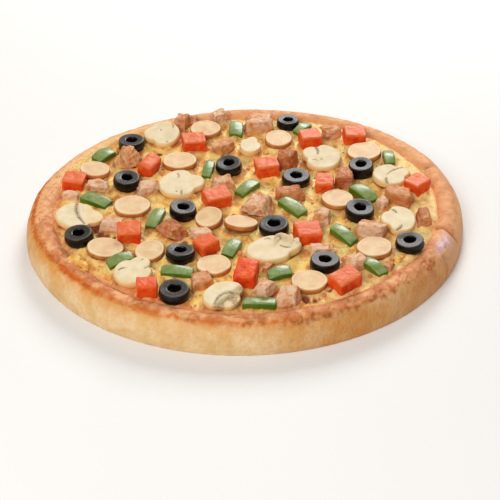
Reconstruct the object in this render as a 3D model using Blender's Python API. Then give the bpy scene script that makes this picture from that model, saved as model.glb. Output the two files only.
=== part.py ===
"""A baked pan pizza, whole and uncut: a thick dough base with a raised rim, a layer of
melted cheese in its hollow, and the toppings that lie on the cheese.

Metres, +Z up. The origin is the middle of the flat underside, and -Y is the front.
Rings of olive, slices of mushroom, rounds of sausage and dice of tomato are solids of
their own. Strips of green pepper and chunks of chicken are baked into the cheese.
"""

import math

import bmesh
import bpy
import numpy as np
from mathutils import Matrix, Vector, noise

# The dough base
RADIUS = 0.130
OUTLINE_WAVES = ((2, 0.026, 0.019), (3, -0.003, 0.004))
RIM_WIDTH = 0.0165
RIM_WIDTH_SWING = 0.0012
RIM_WIDEST_AT = math.radians(-15)
CREST_HEIGHT = 0.0200
CREST_SWING = 0.0007
FOOT_INSET = 0.0007
HOLLOW_FLOOR = 0.0128
RIM_SEGMENTS = 78
RIM_SECTION = (
    (0.000, 0.110),
    (0.005, 0.300),
    (0.045, 0.500),
    (0.120, 0.690),
    (0.245, 0.860),
    (0.400, 0.960),
    (0.570, 1.000),
    (0.730, 0.965),
    (0.860, 0.885),
    (0.960, 0.770),
)
CREASES = ((-18.0, 3.0, 0.0026), (17.5, 2.2, 0.0014))

# The cheese
CHEESE_TOP = 0.0170
CHEESE_DIP = 0.0016
CHEESE_RINGS = 11
CHEESE_SEGMENTS = 60
CHEESE_NOISE_SIZE = 0.013
GAP = 0.0003

# The toppings
OLIVE_HOLE = 0.37
MUSHROOM_THICKNESS = 0.0046
SAUSAGE_THICKNESS = 0.0042
PEPPER_THICKNESS = 0.0050
SINK = 0.0014

# Olive rings: x, y, radius, height, lean about X, lean about Y (degrees)
OLIVES = (
    (-0.0760, 0.0690, 0.0088, 0.0066, 0, 0),
    (-0.0755, 0.0200, 0.0086, 0.0070, 4, 3),
    (-0.0115, 0.0385, 0.0086, 0.0068, 6, -3),
    (0.0275, 0.0980, 0.0077, 0.0062, 0, 0),
    (0.0305, 0.0235, 0.0090, 0.0066, 3, 0),
    (0.0722, 0.0345, 0.0083, 0.0082, 4, -3),
    (-0.0390, -0.0145, 0.0084, 0.0070, 3, 4),
    (-0.0980, -0.0430, 0.0086, 0.0070, 3, -4),
    (-0.0385, -0.0610, 0.0085, 0.0064, -6, 2),
    (-0.0400, -0.0980, 0.0088, 0.0068, 3, 0),
    (0.0160, -0.0325, 0.0092, 0.0066, 2, -4),
    (0.0675, -0.0150, 0.0090, 0.0070, 4, 3),
    (0.0945, -0.0495, 0.0085, 0.0062, 3, -5),
    (0.0440, -0.0685, 0.0087, 0.0062, 0, 0),
)

# Mushroom slices: x, y, direction of the stem (degrees), width, length, lean X, lean Y
MUSHROOMS = (
    (-0.0560, 0.0790, 185, 0.0230, 0.0230, 14, 0),
    (-0.0415, 0.0160, 8, 0.0255, 0.0275, 8, 0),
    (0.0480, 0.0485, 150, 0.0240, 0.0245, 10, 0),
    (0.0900, 0.0270, 25, 0.0205, 0.0235, 7, 4),
    (-0.1015, -0.0205, -4, 0.0245, 0.0275, 4, 3),
    (-0.0640, -0.0785, 62, 0.0215, 0.0240, 6, 0),
    (-0.0130, -0.1010, -55, 0.0240, 0.0200, 6, -4),
    (0.0145, -0.0565, 12, 0.0225, 0.0310, 6, -3),
    (0.0905, -0.0240, 176, 0.0260, 0.0200, 3, 0),
    (0.0015, 0.0645, 75, 0.0135, 0.0170, 8, 8),
)

# Sausage rounds: x, y, radius, direction of the long side, lean X, lean Y
SAUSAGES = (
    (-0.0280, 0.0885, 0.0097, 0, 6, 0),
    (-0.0435, 0.0465, 0.0104, 10, 2, 0),
    (-0.0970, 0.0350, 0.0092, 0, 2, 4),
    (0.0205, 0.0750, 0.0092, 70, 5, 3),
    (0.0760, 0.0580, 0.0108, 10, 3, -2),
    (0.0550, -0.0003, 0.0097, 15, 2, 4),
    (-0.0700, -0.0085, 0.0106, 10, 4, 3),
    (-0.0822, -0.0540, 0.0102, 170, 2, 3),
    (-0.0560, -0.0572, 0.0090, 80, 5, -3),
    (-0.0225, -0.0225, 0.0087, 95, 9, -8),
    (-0.0190, -0.0710, 0.0097, 10, 2, 0),
    (0.0735, -0.0532, 0.0100, 0, 3, -2),
    (0.0345, -0.0868, 0.0098, 0, 3, 0),
    (-0.0040, -0.0290, 0.0096, 10, -10, 6),
)

# Tomato dice: x, y, turn (degrees), length, width, height, lean X, lean Y
TOMATOES = (
    (-0.0350, 0.0690, 8, 0.0150, 0.0128, 0.0080, 3, 0),
    (-0.0620, 0.0380, 66, 0.0170, 0.0100, 0.0088, 5, 12),
    (-0.1080, 0.0195, -8, 0.0135, 0.0125, 0.0076, 3, 4),
    (0.0410, 0.0725, 14, 0.0130, 0.0125, 0.0086, 4, 0),
    (0.0710, 0.0775, 4, 0.0140, 0.0125, 0.0080, 4, 3),
    (0.0125, 0.0360, 10, 0.0145, 0.0125, 0.0086, 3, -3),
    (0.0480, 0.0160, -4, 0.0112, 0.0125, 0.0082, 5, -3),
    (0.1055, 0.0150, 42, 0.0122, 0.0122, 0.0080, 3, -4),
    (-0.0185, -0.0020, 22, 0.0160, 0.0128, 0.0086, 4, 3),
    (-0.0690, -0.0405, 4, 0.0135, 0.0120, 0.0084, 8, 0),
    (-0.0235, -0.0535, 35, 0.0120, 0.0110, 0.0080, 3, -6),
    (-0.0553, -0.0950, 3, 0.0113, 0.0095, 0.0088, 2, 0),
    (-0.0005, -0.0825, 78, 0.0165, 0.0125, 0.0090, 5, -3),
    (0.0355, -0.0410, 12, 0.0150, 0.0140, 0.0084, 4, 5),
    (0.0543, -0.0880, 38, 0.0152, 0.0120, 0.0084, 5, 0),
)

# Pepper strips: x, y, turn (degrees), length, width, arch of the middle, lean about X
PEPPERS = (
    (-0.0075, 0.0900, 88, 0.0150, 0.0096, 0.0006, 6),
    (-0.0930, 0.0540, 45, 0.0140, 0.0095, 0.0014, 10),
    (-0.0248, 0.0365, 80, 0.0170, 0.0066, 0.0010, 5),
    (0.0000, 0.0140, 52, 0.0175, 0.0084, 0.0012, 4),
    (-0.0925, -0.0010, -28, 0.0190, 0.0084, 0.0012, 8),
    (0.0370, 0.0905, 50, 0.0145, 0.0068, 0.0014, 4),
    (0.0915, 0.0520, -86, 0.0150, 0.0074, 0.0012, 3),
    (0.0718, 0.0065, -50, 0.0185, 0.0088, 0.0018, 10),
    (-0.0550, -0.0215, 74, 0.0180, 0.0082, 0.0010, 5),
    (-0.0725, -0.0655, 30, 0.0155, 0.0078, 0.0014, 10),
    (-0.0395, -0.0765, -8, 0.0185, 0.0074, 0.0012, 8),
    (-0.0090, -0.0530, 68, 0.0150, 0.0085, 0.0008, 6),
    (0.0275, -0.0085, -48, 0.0190, 0.0088, 0.0010, 8),
    (0.0565, -0.0395, -50, 0.0185, 0.0080, 0.0014, 8),
    (0.0180, -0.0782, 20, 0.0140, 0.0083, 0.0014, 8),
    (0.0070, -0.1055, -2, 0.0185, 0.0080, 0.0006, -6),
    (0.0710, -0.0715, -50, 0.0180, 0.0074, 0.0022, 4),
)

# Chicken chunks: x, y, turn (degrees), length, width, height above the cheese
CHICKEN = (
    (-0.0445, 0.0945, 70, 0.0160, 0.0105, 0.0110),
    (-0.0365, 0.1005, 80, 0.0085, 0.0060, 0.0060),
    (-0.0200, 0.1045, 20, 0.0115, 0.0105, 0.0085),
    (-0.0765, 0.0495, 80, 0.0205, 0.0140, 0.0100),
    (-0.0155, 0.0660, 55, 0.0160, 0.0140, 0.0070),
    (-0.0922, 0.0165, 0, 0.0160, 0.0120, 0.0060),
    (-0.0625, 0.0120, 30, 0.0145, 0.0110, 0.0070),
    (-0.0155, 0.0185, 10, 0.0145, 0.0115, 0.0070),
    (-0.1090, 0.0050, 0, 0.0120, 0.0075, 0.0050),
    (0.0075, 0.0960, 10, 0.0205, 0.0170, 0.0085),
    (0.0265, 0.0480, 75, 0.0215, 0.0150, 0.0100),
    (0.0560, 0.0845, 20, 0.0150, 0.0120, 0.0070),
    (0.0612, 0.0225, 80, 0.0155, 0.0120, 0.0090),
    (0.0250, 0.0060, 15, 0.0190, 0.0115, 0.0070),
    (0.0925, 0.0035, -35, 0.0205, 0.0135, 0.0085),
    (0.1055, -0.0205, -80, 0.0155, 0.0095, 0.0070),
    (-0.0795, -0.0285, -5, 0.0150, 0.0090, 0.0060),
    (-0.0440, -0.0345, -50, 0.0200, 0.0130, 0.0080),
    (-0.0275, -0.0385, 15, 0.0140, 0.0080, 0.0060),
    (-0.0260, -0.0865, 20, 0.0165, 0.0125, 0.0060),
    (0.0060, -0.0080, 70, 0.0205, 0.0185, 0.0085),
    (0.0445, -0.0195, 80, 0.0190, 0.0120, 0.0070),
    (0.0740, -0.0340, -20, 0.0195, 0.0140, 0.0080),
    (0.0420, -0.0545, 8, 0.0165, 0.0090, 0.0060),
    (0.0608, -0.0685, 35, 0.0160, 0.0135, 0.0070),
    (0.0095, -0.0955, 60, 0.0155, 0.0120, 0.0085),
    (0.0225, -0.1015, 75, 0.0165, 0.0140, 0.0080),
    (0.0830, -0.0030, 40, 0.0080, 0.0070, 0.0050),
    (0.0800, -0.0705, 70, 0.0090, 0.0055, 0.0040),
    (0.0110, -0.0725, 60, 0.0080, 0.0060, 0.0045),
)


def clear_scene():
    for obj in list(bpy.data.objects):
        bpy.data.objects.remove(obj, do_unlink=True)


def food_material(name, colour, roughness):
    """A Principled BSDF of one colour: nothing on the pizza is metallic."""
    material = bpy.data.materials.new(name)
    material.use_nodes = True
    shader = material.node_tree.nodes["Principled BSDF"]
    shader.inputs["Base Color"].default_value = (*colour, 1)
    shader.inputs["Roughness"].default_value = roughness
    shader.inputs["Metallic"].default_value = 0
    return material


def add_object(name, bm, material):
    """Turns a bmesh into a named object with its faces pointing outwards."""
    bmesh.ops.recalc_face_normals(bm, faces=bm.faces)
    mesh = bpy.data.meshes.new(name)
    bm.to_mesh(mesh)
    bm.free()
    mesh.materials.append(material)
    mesh.shade_smooth()
    mesh.set_sharp_from_angle(angle=math.radians(40))
    obj = bpy.data.objects.new(name, mesh)
    bpy.context.scene.collection.objects.link(obj)
    return obj


def stack_of_rings(rings):
    """A closed bmesh from rings of points, bottom to top, each end closed by one face."""
    bm = bmesh.new()
    below = None
    for ring in rings:
        corners = [bm.verts.new(point) for point in ring]
        if below is None:
            bm.faces.new(corners)
        edges = [
            bm.edges.get(pair) or bm.edges.new(pair)
            for pair in zip(corners, corners[1:] + corners[:1])
        ]
        if below is not None:
            bmesh.ops.bridge_loops(bm, edges=below + edges)
        below = edges
    bm.faces.new(corners)
    return bm


def set_down(obj, x, y, turn, lean_x=0.0, lean_y=0.0, bottom=CHEESE_TOP + GAP):
    """Turns a piece about Z, leans it about X and Y, and lowers it on to the cheese."""
    turned = (
        Matrix.Rotation(math.radians(lean_x), 3, "X")
        @ Matrix.Rotation(math.radians(lean_y), 3, "Y")
        @ Matrix.Rotation(math.radians(turn), 3, "Z")
    )
    lowest = min((turned @ vertex.co).z for vertex in obj.data.vertices)
    obj.rotation_euler = turned.to_euler()
    obj.location = (x, y, bottom - lowest)


def edge_radius(angle):
    """Distance from the middle to the outer edge: a circle with low waves in it."""
    share = 1.0
    for count, cosine, sine in OUTLINE_WAVES:
        share += cosine * math.cos(count * angle) + sine * math.sin(count * angle)
    return RADIUS * share


def rim_width(angle):
    return RIM_WIDTH + RIM_WIDTH_SWING * math.cos(angle - RIM_WIDEST_AT)


def crease_depth(angle):
    """How far the folds in the dough's rim cut into its crown at this angle."""
    depth = 0.0
    for at, half_width, deepest in CREASES:
        away = (math.degrees(angle) - at + 180) % 360 - 180
        depth += deepest * max(0.0, 1 - abs(away) / half_width)
    return depth


def crest_height(angle):
    """Height of the rim's crown, with the slow swells of baked dough."""
    ring = Vector((math.cos(angle), math.sin(angle), 0.3)) * 2.2
    return CREST_HEIGHT + CREST_SWING * noise.noise(ring)


def rim_angles():
    """Even steps round the rim, with three more at each crease to draw its edges."""
    even = np.linspace(-math.pi, math.pi, RIM_SEGMENTS, endpoint=False)
    extra = [
        math.radians(at + side * half_width)
        for at, half_width, _ in CREASES
        for side in (-1, 0, 1)
    ]
    kept = [a for a in even if min(abs(a - e) for e in extra) > math.radians(1.2)]
    return sorted(kept + extra)


def rim_profile(angle, crest):
    """Radius and height of the points up the wall, over the crown and into the hollow.

    Each row of RIM_SECTION is a share of the rim's width, measured in from the edge, and
    a share of the crest's height. The foot is tucked in a little below the wall.
    """
    edge = edge_radius(angle)
    width = rim_width(angle)
    points = [(edge - FOOT_INSET, 0.0)]
    points += [(edge - across * width, up * crest) for across, up in RIM_SECTION]
    points.append((edge - width - 0.0006, HOLLOW_FLOOR))
    return points


def make_crust(material):
    """The dough: rings of rim points, closed by the flat underside and the hollow's floor."""
    angles = rim_angles()
    profiles = [rim_profile(a, crest_height(a) - crease_depth(a)) for a in angles]
    rings = [
        [
            (radius * math.cos(angle), radius * math.sin(angle), height)
            for angle, (radius, height) in zip(angles, level)
        ]
        for level in zip(*profiles)
    ]
    return add_object("crust", stack_of_rings(rings), material)


def cheese_edge(angle, height):
    """Where the cheese stops: a little inside the rim's inner slope at this height."""
    slope = rim_profile(angle, crest_height(angle))[:-5:-1]
    return float(np.interp(height, [z for _, z in slope], [r for r, _ in slope])) - 0.0012


def topping_footprints():
    """Middle and radius of the ground that each topping covers."""
    rounds = [(x, y, radius) for x, y, radius, *_ in OLIVES + SAUSAGES]
    slices = [(x, y, width / 2) for x, y, _, width, *_ in MUSHROOMS]
    dice = [(x, y, length / 2) for x, y, _, length, *_ in TOMATOES + PEPPERS + CHICKEN]
    return np.array(rounds + slices + dice)


def cheese_height(x, y, footprints):
    """Level under the toppings, and sagging in soft hollows between them."""
    away = np.hypot(footprints[:, 0] - x, footprints[:, 1] - y) - footprints[:, 2]
    if away.min() < 0:
        return CHEESE_TOP
    place = Vector((x, y, 0)) / CHEESE_NOISE_SIZE
    return CHEESE_TOP - CHEESE_DIP * (0.5 + 0.5 * noise.noise(place))


def make_cheese(material):
    """A disc with a flat underside, whose top is rings of points at the cheese's height."""
    footprints = topping_footprints()
    angles = np.linspace(-math.pi, math.pi, CHEESE_SEGMENTS, endpoint=False)
    under = HOLLOW_FLOOR + GAP
    rings = [
        [
            (
                cheese_edge(angle, under) * math.cos(angle),
                cheese_edge(angle, under) * math.sin(angle),
                under,
            )
            for angle in angles
        ]
    ]
    for ring in range(CHEESE_RINGS):
        share = 1 - ring / CHEESE_RINGS
        level = []
        for angle in angles:
            radius = cheese_edge(angle, CHEESE_TOP) * share
            x, y = radius * math.cos(angle), radius * math.sin(angle)
            level.append((x, y, cheese_height(x, y, footprints)))
        rings.append(level)
    bm = stack_of_rings(rings)
    ends = [face for face in bm.faces if len(face.verts) == CHEESE_SEGMENTS]
    bmesh.ops.poke(bm, faces=[max(ends, key=lambda face: face.verts[0].co.z)])
    return add_object("cheese", bm, material)


def make_olive(name, radius, height, material):
    """A slice of a pitted olive: a barrel's section spun about its hole."""
    hole = radius * OLIVE_HOLE
    section = (
        (hole, 0),
        (radius * 0.86, 0),
        (radius * 0.98, height * 0.28),
        (radius, height * 0.55),
        (radius * 0.88, height),
        (hole, height),
    )
    bm = bmesh.new()
    corners = [bm.verts.new((across, 0, up)) for across, up in section]
    edges = [bm.edges.new(pair) for pair in zip(corners, corners[1:] + corners[:1])]
    bmesh.ops.spin(
        bm,
        geom=corners + edges,
        axis=(0, 0, 1),
        cent=(0, 0, 0),
        angle=2 * math.pi,
        steps=12,
        use_merge=True,
    )
    return add_object(name, bm, material)


def mushroom_outline(width, length, count):
    """A cut mushroom seen flat: a round cap towards -X, a notch at each side, a stem at +X."""
    points = []
    for step in range(count):
        turn = 2 * math.pi * step / count
        away = abs((turn + math.pi) % (2 * math.pi) - math.pi)
        stem = 0.12 * math.exp(-((away / 0.42) ** 2))
        notch = 0.16 * math.exp(-(((away - 0.78) / 0.26) ** 2))
        reach = 1 + stem - notch
        points.append((length / 2 * reach * math.cos(turn), width / 2 * reach * math.sin(turn)))
    return points


def make_mushroom(name, width, length, material):
    """A slice of even thickness, with its cut edges softened by baking."""
    outline = mushroom_outline(width, length, 24)
    levels = ((0.93, 0.0), (1.0, 0.3), (1.0, 0.75), (0.95, 1.0))
    rings = [
        [(x * share, y * share, height * MUSHROOM_THICKNESS) for x, y in outline]
        for share, height in levels
    ]
    return add_object(name, stack_of_rings(rings), material)


def make_sausage(name, radius, material):
    """A thin round cut from a sausage, a little longer one way, with soft edges."""
    bm = bmesh.new()
    bmesh.ops.create_cone(
        bm,
        cap_ends=True,
        segments=16,
        radius1=radius,
        radius2=radius,
        depth=SAUSAGE_THICKNESS,
    )
    bmesh.ops.scale(bm, verts=bm.verts[:], vec=(1.05, 0.95, 1))
    rims = [e for e in bm.edges if abs(e.verts[0].co.z - e.verts[1].co.z) < GAP]
    bmesh.ops.bevel(bm, geom=rims, offset=0.0008, segments=1, profile=0.5, affect="EDGES")
    return add_object(name, bm, material)


def make_tomato(name, size, seed, material):
    """A hand-cut dice: a box with its corners pushed about and its edges rounded."""
    draw = np.random.default_rng(seed)
    bm = bmesh.new()
    bmesh.ops.create_cube(bm, size=1)
    for vertex in bm.verts:
        vertex.co = Vector(np.array(vertex.co) * (1 + draw.uniform(-0.07, 0.07, 3)) * size)
    bmesh.ops.bevel(bm, geom=bm.edges[:], offset=0.0012, segments=1, profile=0.5, affect="EDGES")
    return add_object(name, bm, material)


def make_pepper(name, length, width, arch, material):
    """A strip of pepper wall: a bar cut across four times and arched along its length."""
    bm = bmesh.new()
    bmesh.ops.create_cube(bm, size=1)
    bmesh.ops.scale(bm, verts=bm.verts[:], vec=(length, width, PEPPER_THICKNESS))
    along = [e for e in bm.edges if abs(e.verts[0].co.x - e.verts[1].co.x) > length / 2]
    bmesh.ops.subdivide_edges(bm, edges=along, cuts=4, use_grid_fill=True)
    upper = [
        e
        for e in bm.edges
        if min(v.co.z for v in e.verts) > 0 and abs(e.verts[0].co.y + e.verts[1].co.y) > width / 2
    ]
    bmesh.ops.bevel(bm, geom=upper, offset=0.0009, segments=1, profile=0.5, affect="EDGES")
    for vertex in bm.verts:
        middle = math.cos(math.pi * vertex.co.x / length)
        vertex.co.z += arch * middle
        vertex.co.y *= 0.88 + 0.12 * middle
    return add_object(name, bm, material)


def make_chicken(name, size, seed, material):
    """A torn chunk: the hull of points spread over a blocky ellipsoid, pushed in and out."""
    draw = np.random.default_rng(seed)
    bm = bmesh.new()
    count = 22
    for step in range(count):
        height = 1 - 2 * (step + 0.5) / count
        turn = step * math.pi * (3 - math.sqrt(5))
        level = math.sqrt(1 - height**2)
        point = np.array((level * math.cos(turn), level * math.sin(turn), height))
        blocky = (abs(point) ** 3).sum() ** (1 / 3)
        bm.verts.new(point / blocky * draw.uniform(0.84, 1.0) * size / 2)
    bmesh.ops.convex_hull(bm, input=bm.verts[:])
    loose = [vertex for vertex in bm.verts if not vertex.link_faces]
    bmesh.ops.delete(bm, geom=loose, context="VERTS")
    return add_object(name, bm, material)


def numbered(kind, index):
    return f"{kind}_{index + 1:02d}"


def lay_out_nodes():
    """The toppings that are solids of their own, set down a hair above the cheese."""
    black = food_material("olive", (0.012, 0.011, 0.013), 0.3)
    for i, (x, y, radius, height, lean_x, lean_y) in enumerate(OLIVES):
        set_down(make_olive(numbered("olive", i), radius, height, black), x, y, 0, lean_x, lean_y)
    cream = food_material("mushroom", (0.85, 0.76, 0.53), 0.55)
    for i, (x, y, turn, width, length, lean_x, lean_y) in enumerate(MUSHROOMS):
        piece = make_mushroom(numbered("mushroom", i), width, length, cream)
        set_down(piece, x, y, turn, lean_x, lean_y)
    beige = food_material("sausage", (0.83, 0.56, 0.33), 0.5)
    for i, (x, y, radius, turn, lean_x, lean_y) in enumerate(SAUSAGES):
        set_down(make_sausage(numbered("sausage", i), radius, beige), x, y, turn, lean_x, lean_y)
    red = food_material("tomato", (0.75, 0.09, 0.03), 0.3)
    for i, (x, y, turn, length, width, height, lean_x, lean_y) in enumerate(TOMATOES):
        piece = make_tomato(numbered("tomato", i), np.array((length, width, height)), i, red)
        set_down(piece, x, y, turn, lean_x, lean_y)


def baked_in_pieces():
    """The toppings that the cheese holds: pepper strips and chicken, sunk in a little."""
    bottom = CHEESE_TOP - SINK
    green = food_material("pepper", (0.13, 0.24, 0.04), 0.35)
    made = []
    for i, (x, y, turn, length, width, bend, lean) in enumerate(PEPPERS):
        piece = make_pepper(numbered("pepper", i), length, width, bend, green)
        set_down(piece, x, y, turn, lean, bottom=bottom)
        made.append(piece)
    brown = food_material("chicken", (0.62, 0.33, 0.17), 0.55)
    for i, (x, y, turn, length, width, height) in enumerate(CHICKEN):
        size = np.array((length, width, height + 2 * SINK))
        piece = make_chicken(numbered("chicken", i), size, 100 + i, brown)
        set_down(piece, x, y, turn, bottom=bottom)
        made.append(piece)
    return made


def keep_outer_skin(mesh):
    """Fills the small hollows shut in between pieces by dropping every skin but the largest."""
    bm = bmesh.new()
    bm.from_mesh(mesh)
    unseen = set(bm.faces)
    skins = []
    while unseen:
        skin = {unseen.pop()}
        edge_of_skin = list(skin)
        while edge_of_skin:
            face = edge_of_skin.pop()
            beside = {f for e in face.edges for f in e.link_faces} & unseen
            unseen -= beside
            skin |= beside
            edge_of_skin += beside
        skins.append(skin)
    skins.sort(key=len)
    for skin in skins[:-1]:
        bmesh.ops.delete(bm, geom=list(skin), context="FACES")
    bm.to_mesh(mesh)
    bm.free()


def bake_in(cheese, pieces):
    """One Boolean union joins the pieces to the cheese, and is applied."""
    group = bpy.data.collections.new("baked in")
    bpy.context.scene.collection.children.link(group)
    for piece in pieces:
        bpy.context.scene.collection.objects.unlink(piece)
        group.objects.link(piece)
    joint = cheese.modifiers.new("baked in", "BOOLEAN")
    joint.operation = "UNION"
    joint.solver = "EXACT"
    joint.material_mode = "TRANSFER"
    joint.operand_type = "COLLECTION"
    joint.collection = group
    graph = bpy.context.evaluated_depsgraph_get()
    mesh = bpy.data.meshes.new_from_object(cheese.evaluated_get(graph))
    cheese.modifiers.clear()
    keep_outer_skin(mesh)
    cheese.data = mesh
    for piece in pieces:
        bpy.data.objects.remove(piece, do_unlink=True)
    bpy.data.collections.remove(group)


def main():
    clear_scene()
    make_crust(food_material("crust", (0.74, 0.42, 0.18), 0.65))
    cheese = make_cheese(food_material("cheese", (0.89, 0.66, 0.28), 0.45))
    lay_out_nodes()
    bake_in(cheese, baked_in_pieces())


if __name__ == "__main__":
    main()
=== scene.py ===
"""The looks of a baked pan pizza: dough, melted cheese and every topping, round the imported
solids. Metres, +Z up, -Y towards the viewer."""

import math

import bpy
import numpy as np
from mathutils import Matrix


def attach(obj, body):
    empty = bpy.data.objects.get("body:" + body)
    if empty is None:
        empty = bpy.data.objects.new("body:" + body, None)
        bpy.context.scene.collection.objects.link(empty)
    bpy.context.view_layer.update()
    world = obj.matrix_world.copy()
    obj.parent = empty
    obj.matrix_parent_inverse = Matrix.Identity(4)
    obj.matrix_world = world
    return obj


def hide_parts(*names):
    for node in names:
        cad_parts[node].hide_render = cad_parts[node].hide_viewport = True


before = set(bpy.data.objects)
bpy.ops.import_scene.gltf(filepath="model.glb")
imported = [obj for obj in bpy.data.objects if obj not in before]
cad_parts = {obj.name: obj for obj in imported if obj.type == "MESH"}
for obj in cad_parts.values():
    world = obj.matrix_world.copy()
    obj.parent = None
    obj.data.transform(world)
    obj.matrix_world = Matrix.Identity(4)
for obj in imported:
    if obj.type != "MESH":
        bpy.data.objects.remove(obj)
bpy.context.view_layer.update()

# The dough: one thick round of yeast dough, baked in an oiled pan. Its wall stayed pale
# against the steel, and its rim rose free above it and browned. It is a section carried
# round the pizza, then pushed in and out by noise.
RADIUS = 0.130

# Waves in the outline: how many go round, then their shares of the radius
OUTLINE_WAVES = ((2, 0.026, 0.019), (3, -0.003, 0.004))
RIM_WIDTH = 0.0165
RIM_WIDTH_SWING = 0.0012
RIM_WIDEST_AT = math.radians(-15)
RIM_LEFT = 0.0022
CREST_HEIGHT = 0.0200
HOLLOW_FLOOR = 0.0128

# Up the wall and over the crown: share of the rim's width inwards, share of its height
RIM_SECTION = (
    (0.000, 0.110),
    (0.005, 0.300),
    (0.045, 0.500),
    (0.120, 0.690),
    (0.245, 0.860),
    (0.400, 0.960),
    (0.570, 1.000),
    (0.730, 0.965),
    (0.860, 0.885),
    (0.960, 0.770),
)

# Where the rim is folded and notched, in degrees, and how far its wall bulges at the left
FOLD_AT = -14.6
NOTCH_AT = 19.4
BULGE_LEFT = 0.0011

# Primes that scramble a place and a seed into a random number
PLACE_PRIMES = (73856093, 19349663, 83492791)
SEED_PRIME = 7919
SCRAMBLER = 1274126177
LOWEST_16_BITS = 0xFFFF


def random_corner(cell, seed):
    """A number from -1 to 1 for each lattice corner: its place times large primes, mixed."""
    key = cell @ np.array(PLACE_PRIMES) + seed * SEED_PRIME
    key = (key ^ (key >> 13)) * SCRAMBLER
    return ((key ^ (key >> 16)) & LOWEST_16_BITS) / (LOWEST_16_BITS / 2) - 1


def noise(points, size, seed):
    """Smooth noise from -1 to 1: random numbers on a lattice, eased between 8 corners."""
    cell = np.floor(points / size)
    ease = points / size - cell
    ease = ease * ease * (3 - 2 * ease)
    total = np.zeros(points.shape[:-1])
    for corner in np.ndindex(2, 2, 2):
        near = np.prod(np.where(corner, ease, 1 - ease), axis=-1)
        total += near * random_corner((cell + corner).astype(np.int64), seed)
    return total


def layered(points, size, seed, layers=3):
    """Noise plus half as much at half the size, and so on, back to about -1 to 1."""
    parts = [noise(points, size / 2**n, seed + n) / 2**n for n in range(layers)]
    return sum(parts) / (2 - 2 ** (1 - layers))


def step(low, high, value):
    """0 below low, 1 above high, and an eased slope between them."""
    share = np.clip((value - low) / (high - low), 0, 1)
    return share * share * (3 - 2 * share)


def hump(value, middle, half_width):
    """A bell: 1 at the middle, and about a third at half_width from it."""
    return np.exp(-(((value - middle) / half_width) ** 2))


def outward(grid):
    """Unit normals of a grid of points: the cross product of its two central differences."""
    across = np.gradient(np.concatenate((grid[-1:], grid, grid[:1])), axis=0)[1:-1]
    normal = np.cross(across, np.gradient(grid, axis=1))
    return normal / np.maximum(np.linalg.norm(normal, axis=-1, keepdims=True), 1e-12)


def new_piece(name, points, faces, painted):
    """A smooth-shaded mesh, put into the scene. Each list of painted numbers, one for each
    point, becomes an attribute of the mesh."""
    mesh = bpy.data.meshes.new(name)
    mesh.from_pydata(points, [], faces)
    mesh.shade_smooth()
    for label, values in painted.items():
        paint = mesh.attributes.new(label, "FLOAT", "POINT")
        paint.data.foreach_set("value", values.astype(np.float32).ravel())
    piece = bpy.data.objects.new(name, mesh)
    bpy.context.scene.collection.objects.link(piece)
    return piece


def make_surface(name, grid, painted, capped=True):
    """A mesh over a grid of points that closes on itself along its first way.

    Its faces are quads between neighbours. Where it is capped, the first and the last
    ring each become one face, and where it isn't, quads join the last ring to the first.
    Painted numbers are one for all points, or one for each.
    """
    around, along = grid.shape[:2]
    here = np.arange(around * along).reshape(around, along)
    beside = np.roll(here, -1, axis=0)
    quads = np.stack((here[:, :-1], beside[:, :-1], beside[:, 1:], here[:, 1:]), axis=-1)
    faces = quads.reshape(-1, 4).tolist()
    if capped:
        faces += [here[::-1, 0].tolist(), here[:, -1].tolist()]
    else:
        ring = np.stack((here[:, -1], beside[:, -1], beside[:, 0], here[:, 0]), axis=-1)
        faces += ring.tolist()
    spread = {}
    for label, values in painted.items():
        spread[label] = np.broadcast_to(values, (around, along))
    return new_piece(name, grid.reshape(-1, 3), faces, spread)


def edge_radius(angle):
    """Distance from the middle to the edge: a circle with low waves in it."""
    waves = [c * np.cos(n * angle) + s * np.sin(n * angle) for n, c, s in OUTLINE_WAVES]
    return RADIUS * (1 + sum(waves))


def degrees_from(angle, middle):
    """How far an angle in radians lies past a middle in degrees, from -180 to 180."""
    return (np.degrees(angle) - middle + 180) % 360 - 180


def between(angle, start, end, soft):
    """1 on the arc from start to end, in degrees, easing to 0 over soft degrees beyond."""
    away = abs(degrees_from(angle, (start + end) / 2))
    return step((end - start) / 2 + soft, (end - start) / 2, away)


def rim_width(angle):
    """The rim's width: a slow swing, and more at the left, where the dough rose further in."""
    swing = RIM_WIDTH_SWING * np.cos(angle - RIM_WIDEST_AT)
    return RIM_WIDTH + swing + RIM_LEFT * between(angle, -205, -140, 40)


def crest_height(angle):
    """Height of the crown: three slow waves of the baked dough round the rim."""
    waves = 0.4 * np.sin(2 * angle + 1) + 0.35 * np.sin(5 * angle) + 0.25 * np.sin(9 * angle)
    return CREST_HEIGHT * (1 + 0.022 * waves)


def rounded_path(corners, count, passes, closed=False):
    """Evenly spaced points on straight runs between corners, which averaging then rounds."""
    corners = np.array(corners + corners[:1] if closed else corners, dtype=float)
    legs = np.linalg.norm(np.diff(corners, axis=0), axis=1)
    at = np.concatenate(((0,), np.cumsum(legs)))
    even = np.linspace(0, at[-1], count, endpoint=not closed)
    path = np.stack([np.interp(even, at, corners[:, k]) for k in (0, 1)], axis=1)
    moves = slice(None) if closed else slice(1, -1)
    for _ in range(passes):
        average = (np.roll(path, 1, axis=0) + 2 * path + np.roll(path, -1, axis=0)) / 4
        path[moves] = average[moves]
    return path


turns = np.linspace(-math.pi, math.pi, 840, endpoint=False)[:, None]
section = rounded_path(((0.02, 0.0),) + RIM_SECTION + ((1.0, 0.64),), 94, 14)
across, up = section[None, :, 0], section[None, :, 1]
rim_radius = edge_radius(turns) - across * rim_width(turns)
dough = np.stack(
    (
        rim_radius * np.cos(turns),
        rim_radius * np.sin(turns),
        up * crest_height(turns) * np.ones_like(turns),
    ),
    axis=-1,
)
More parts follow.
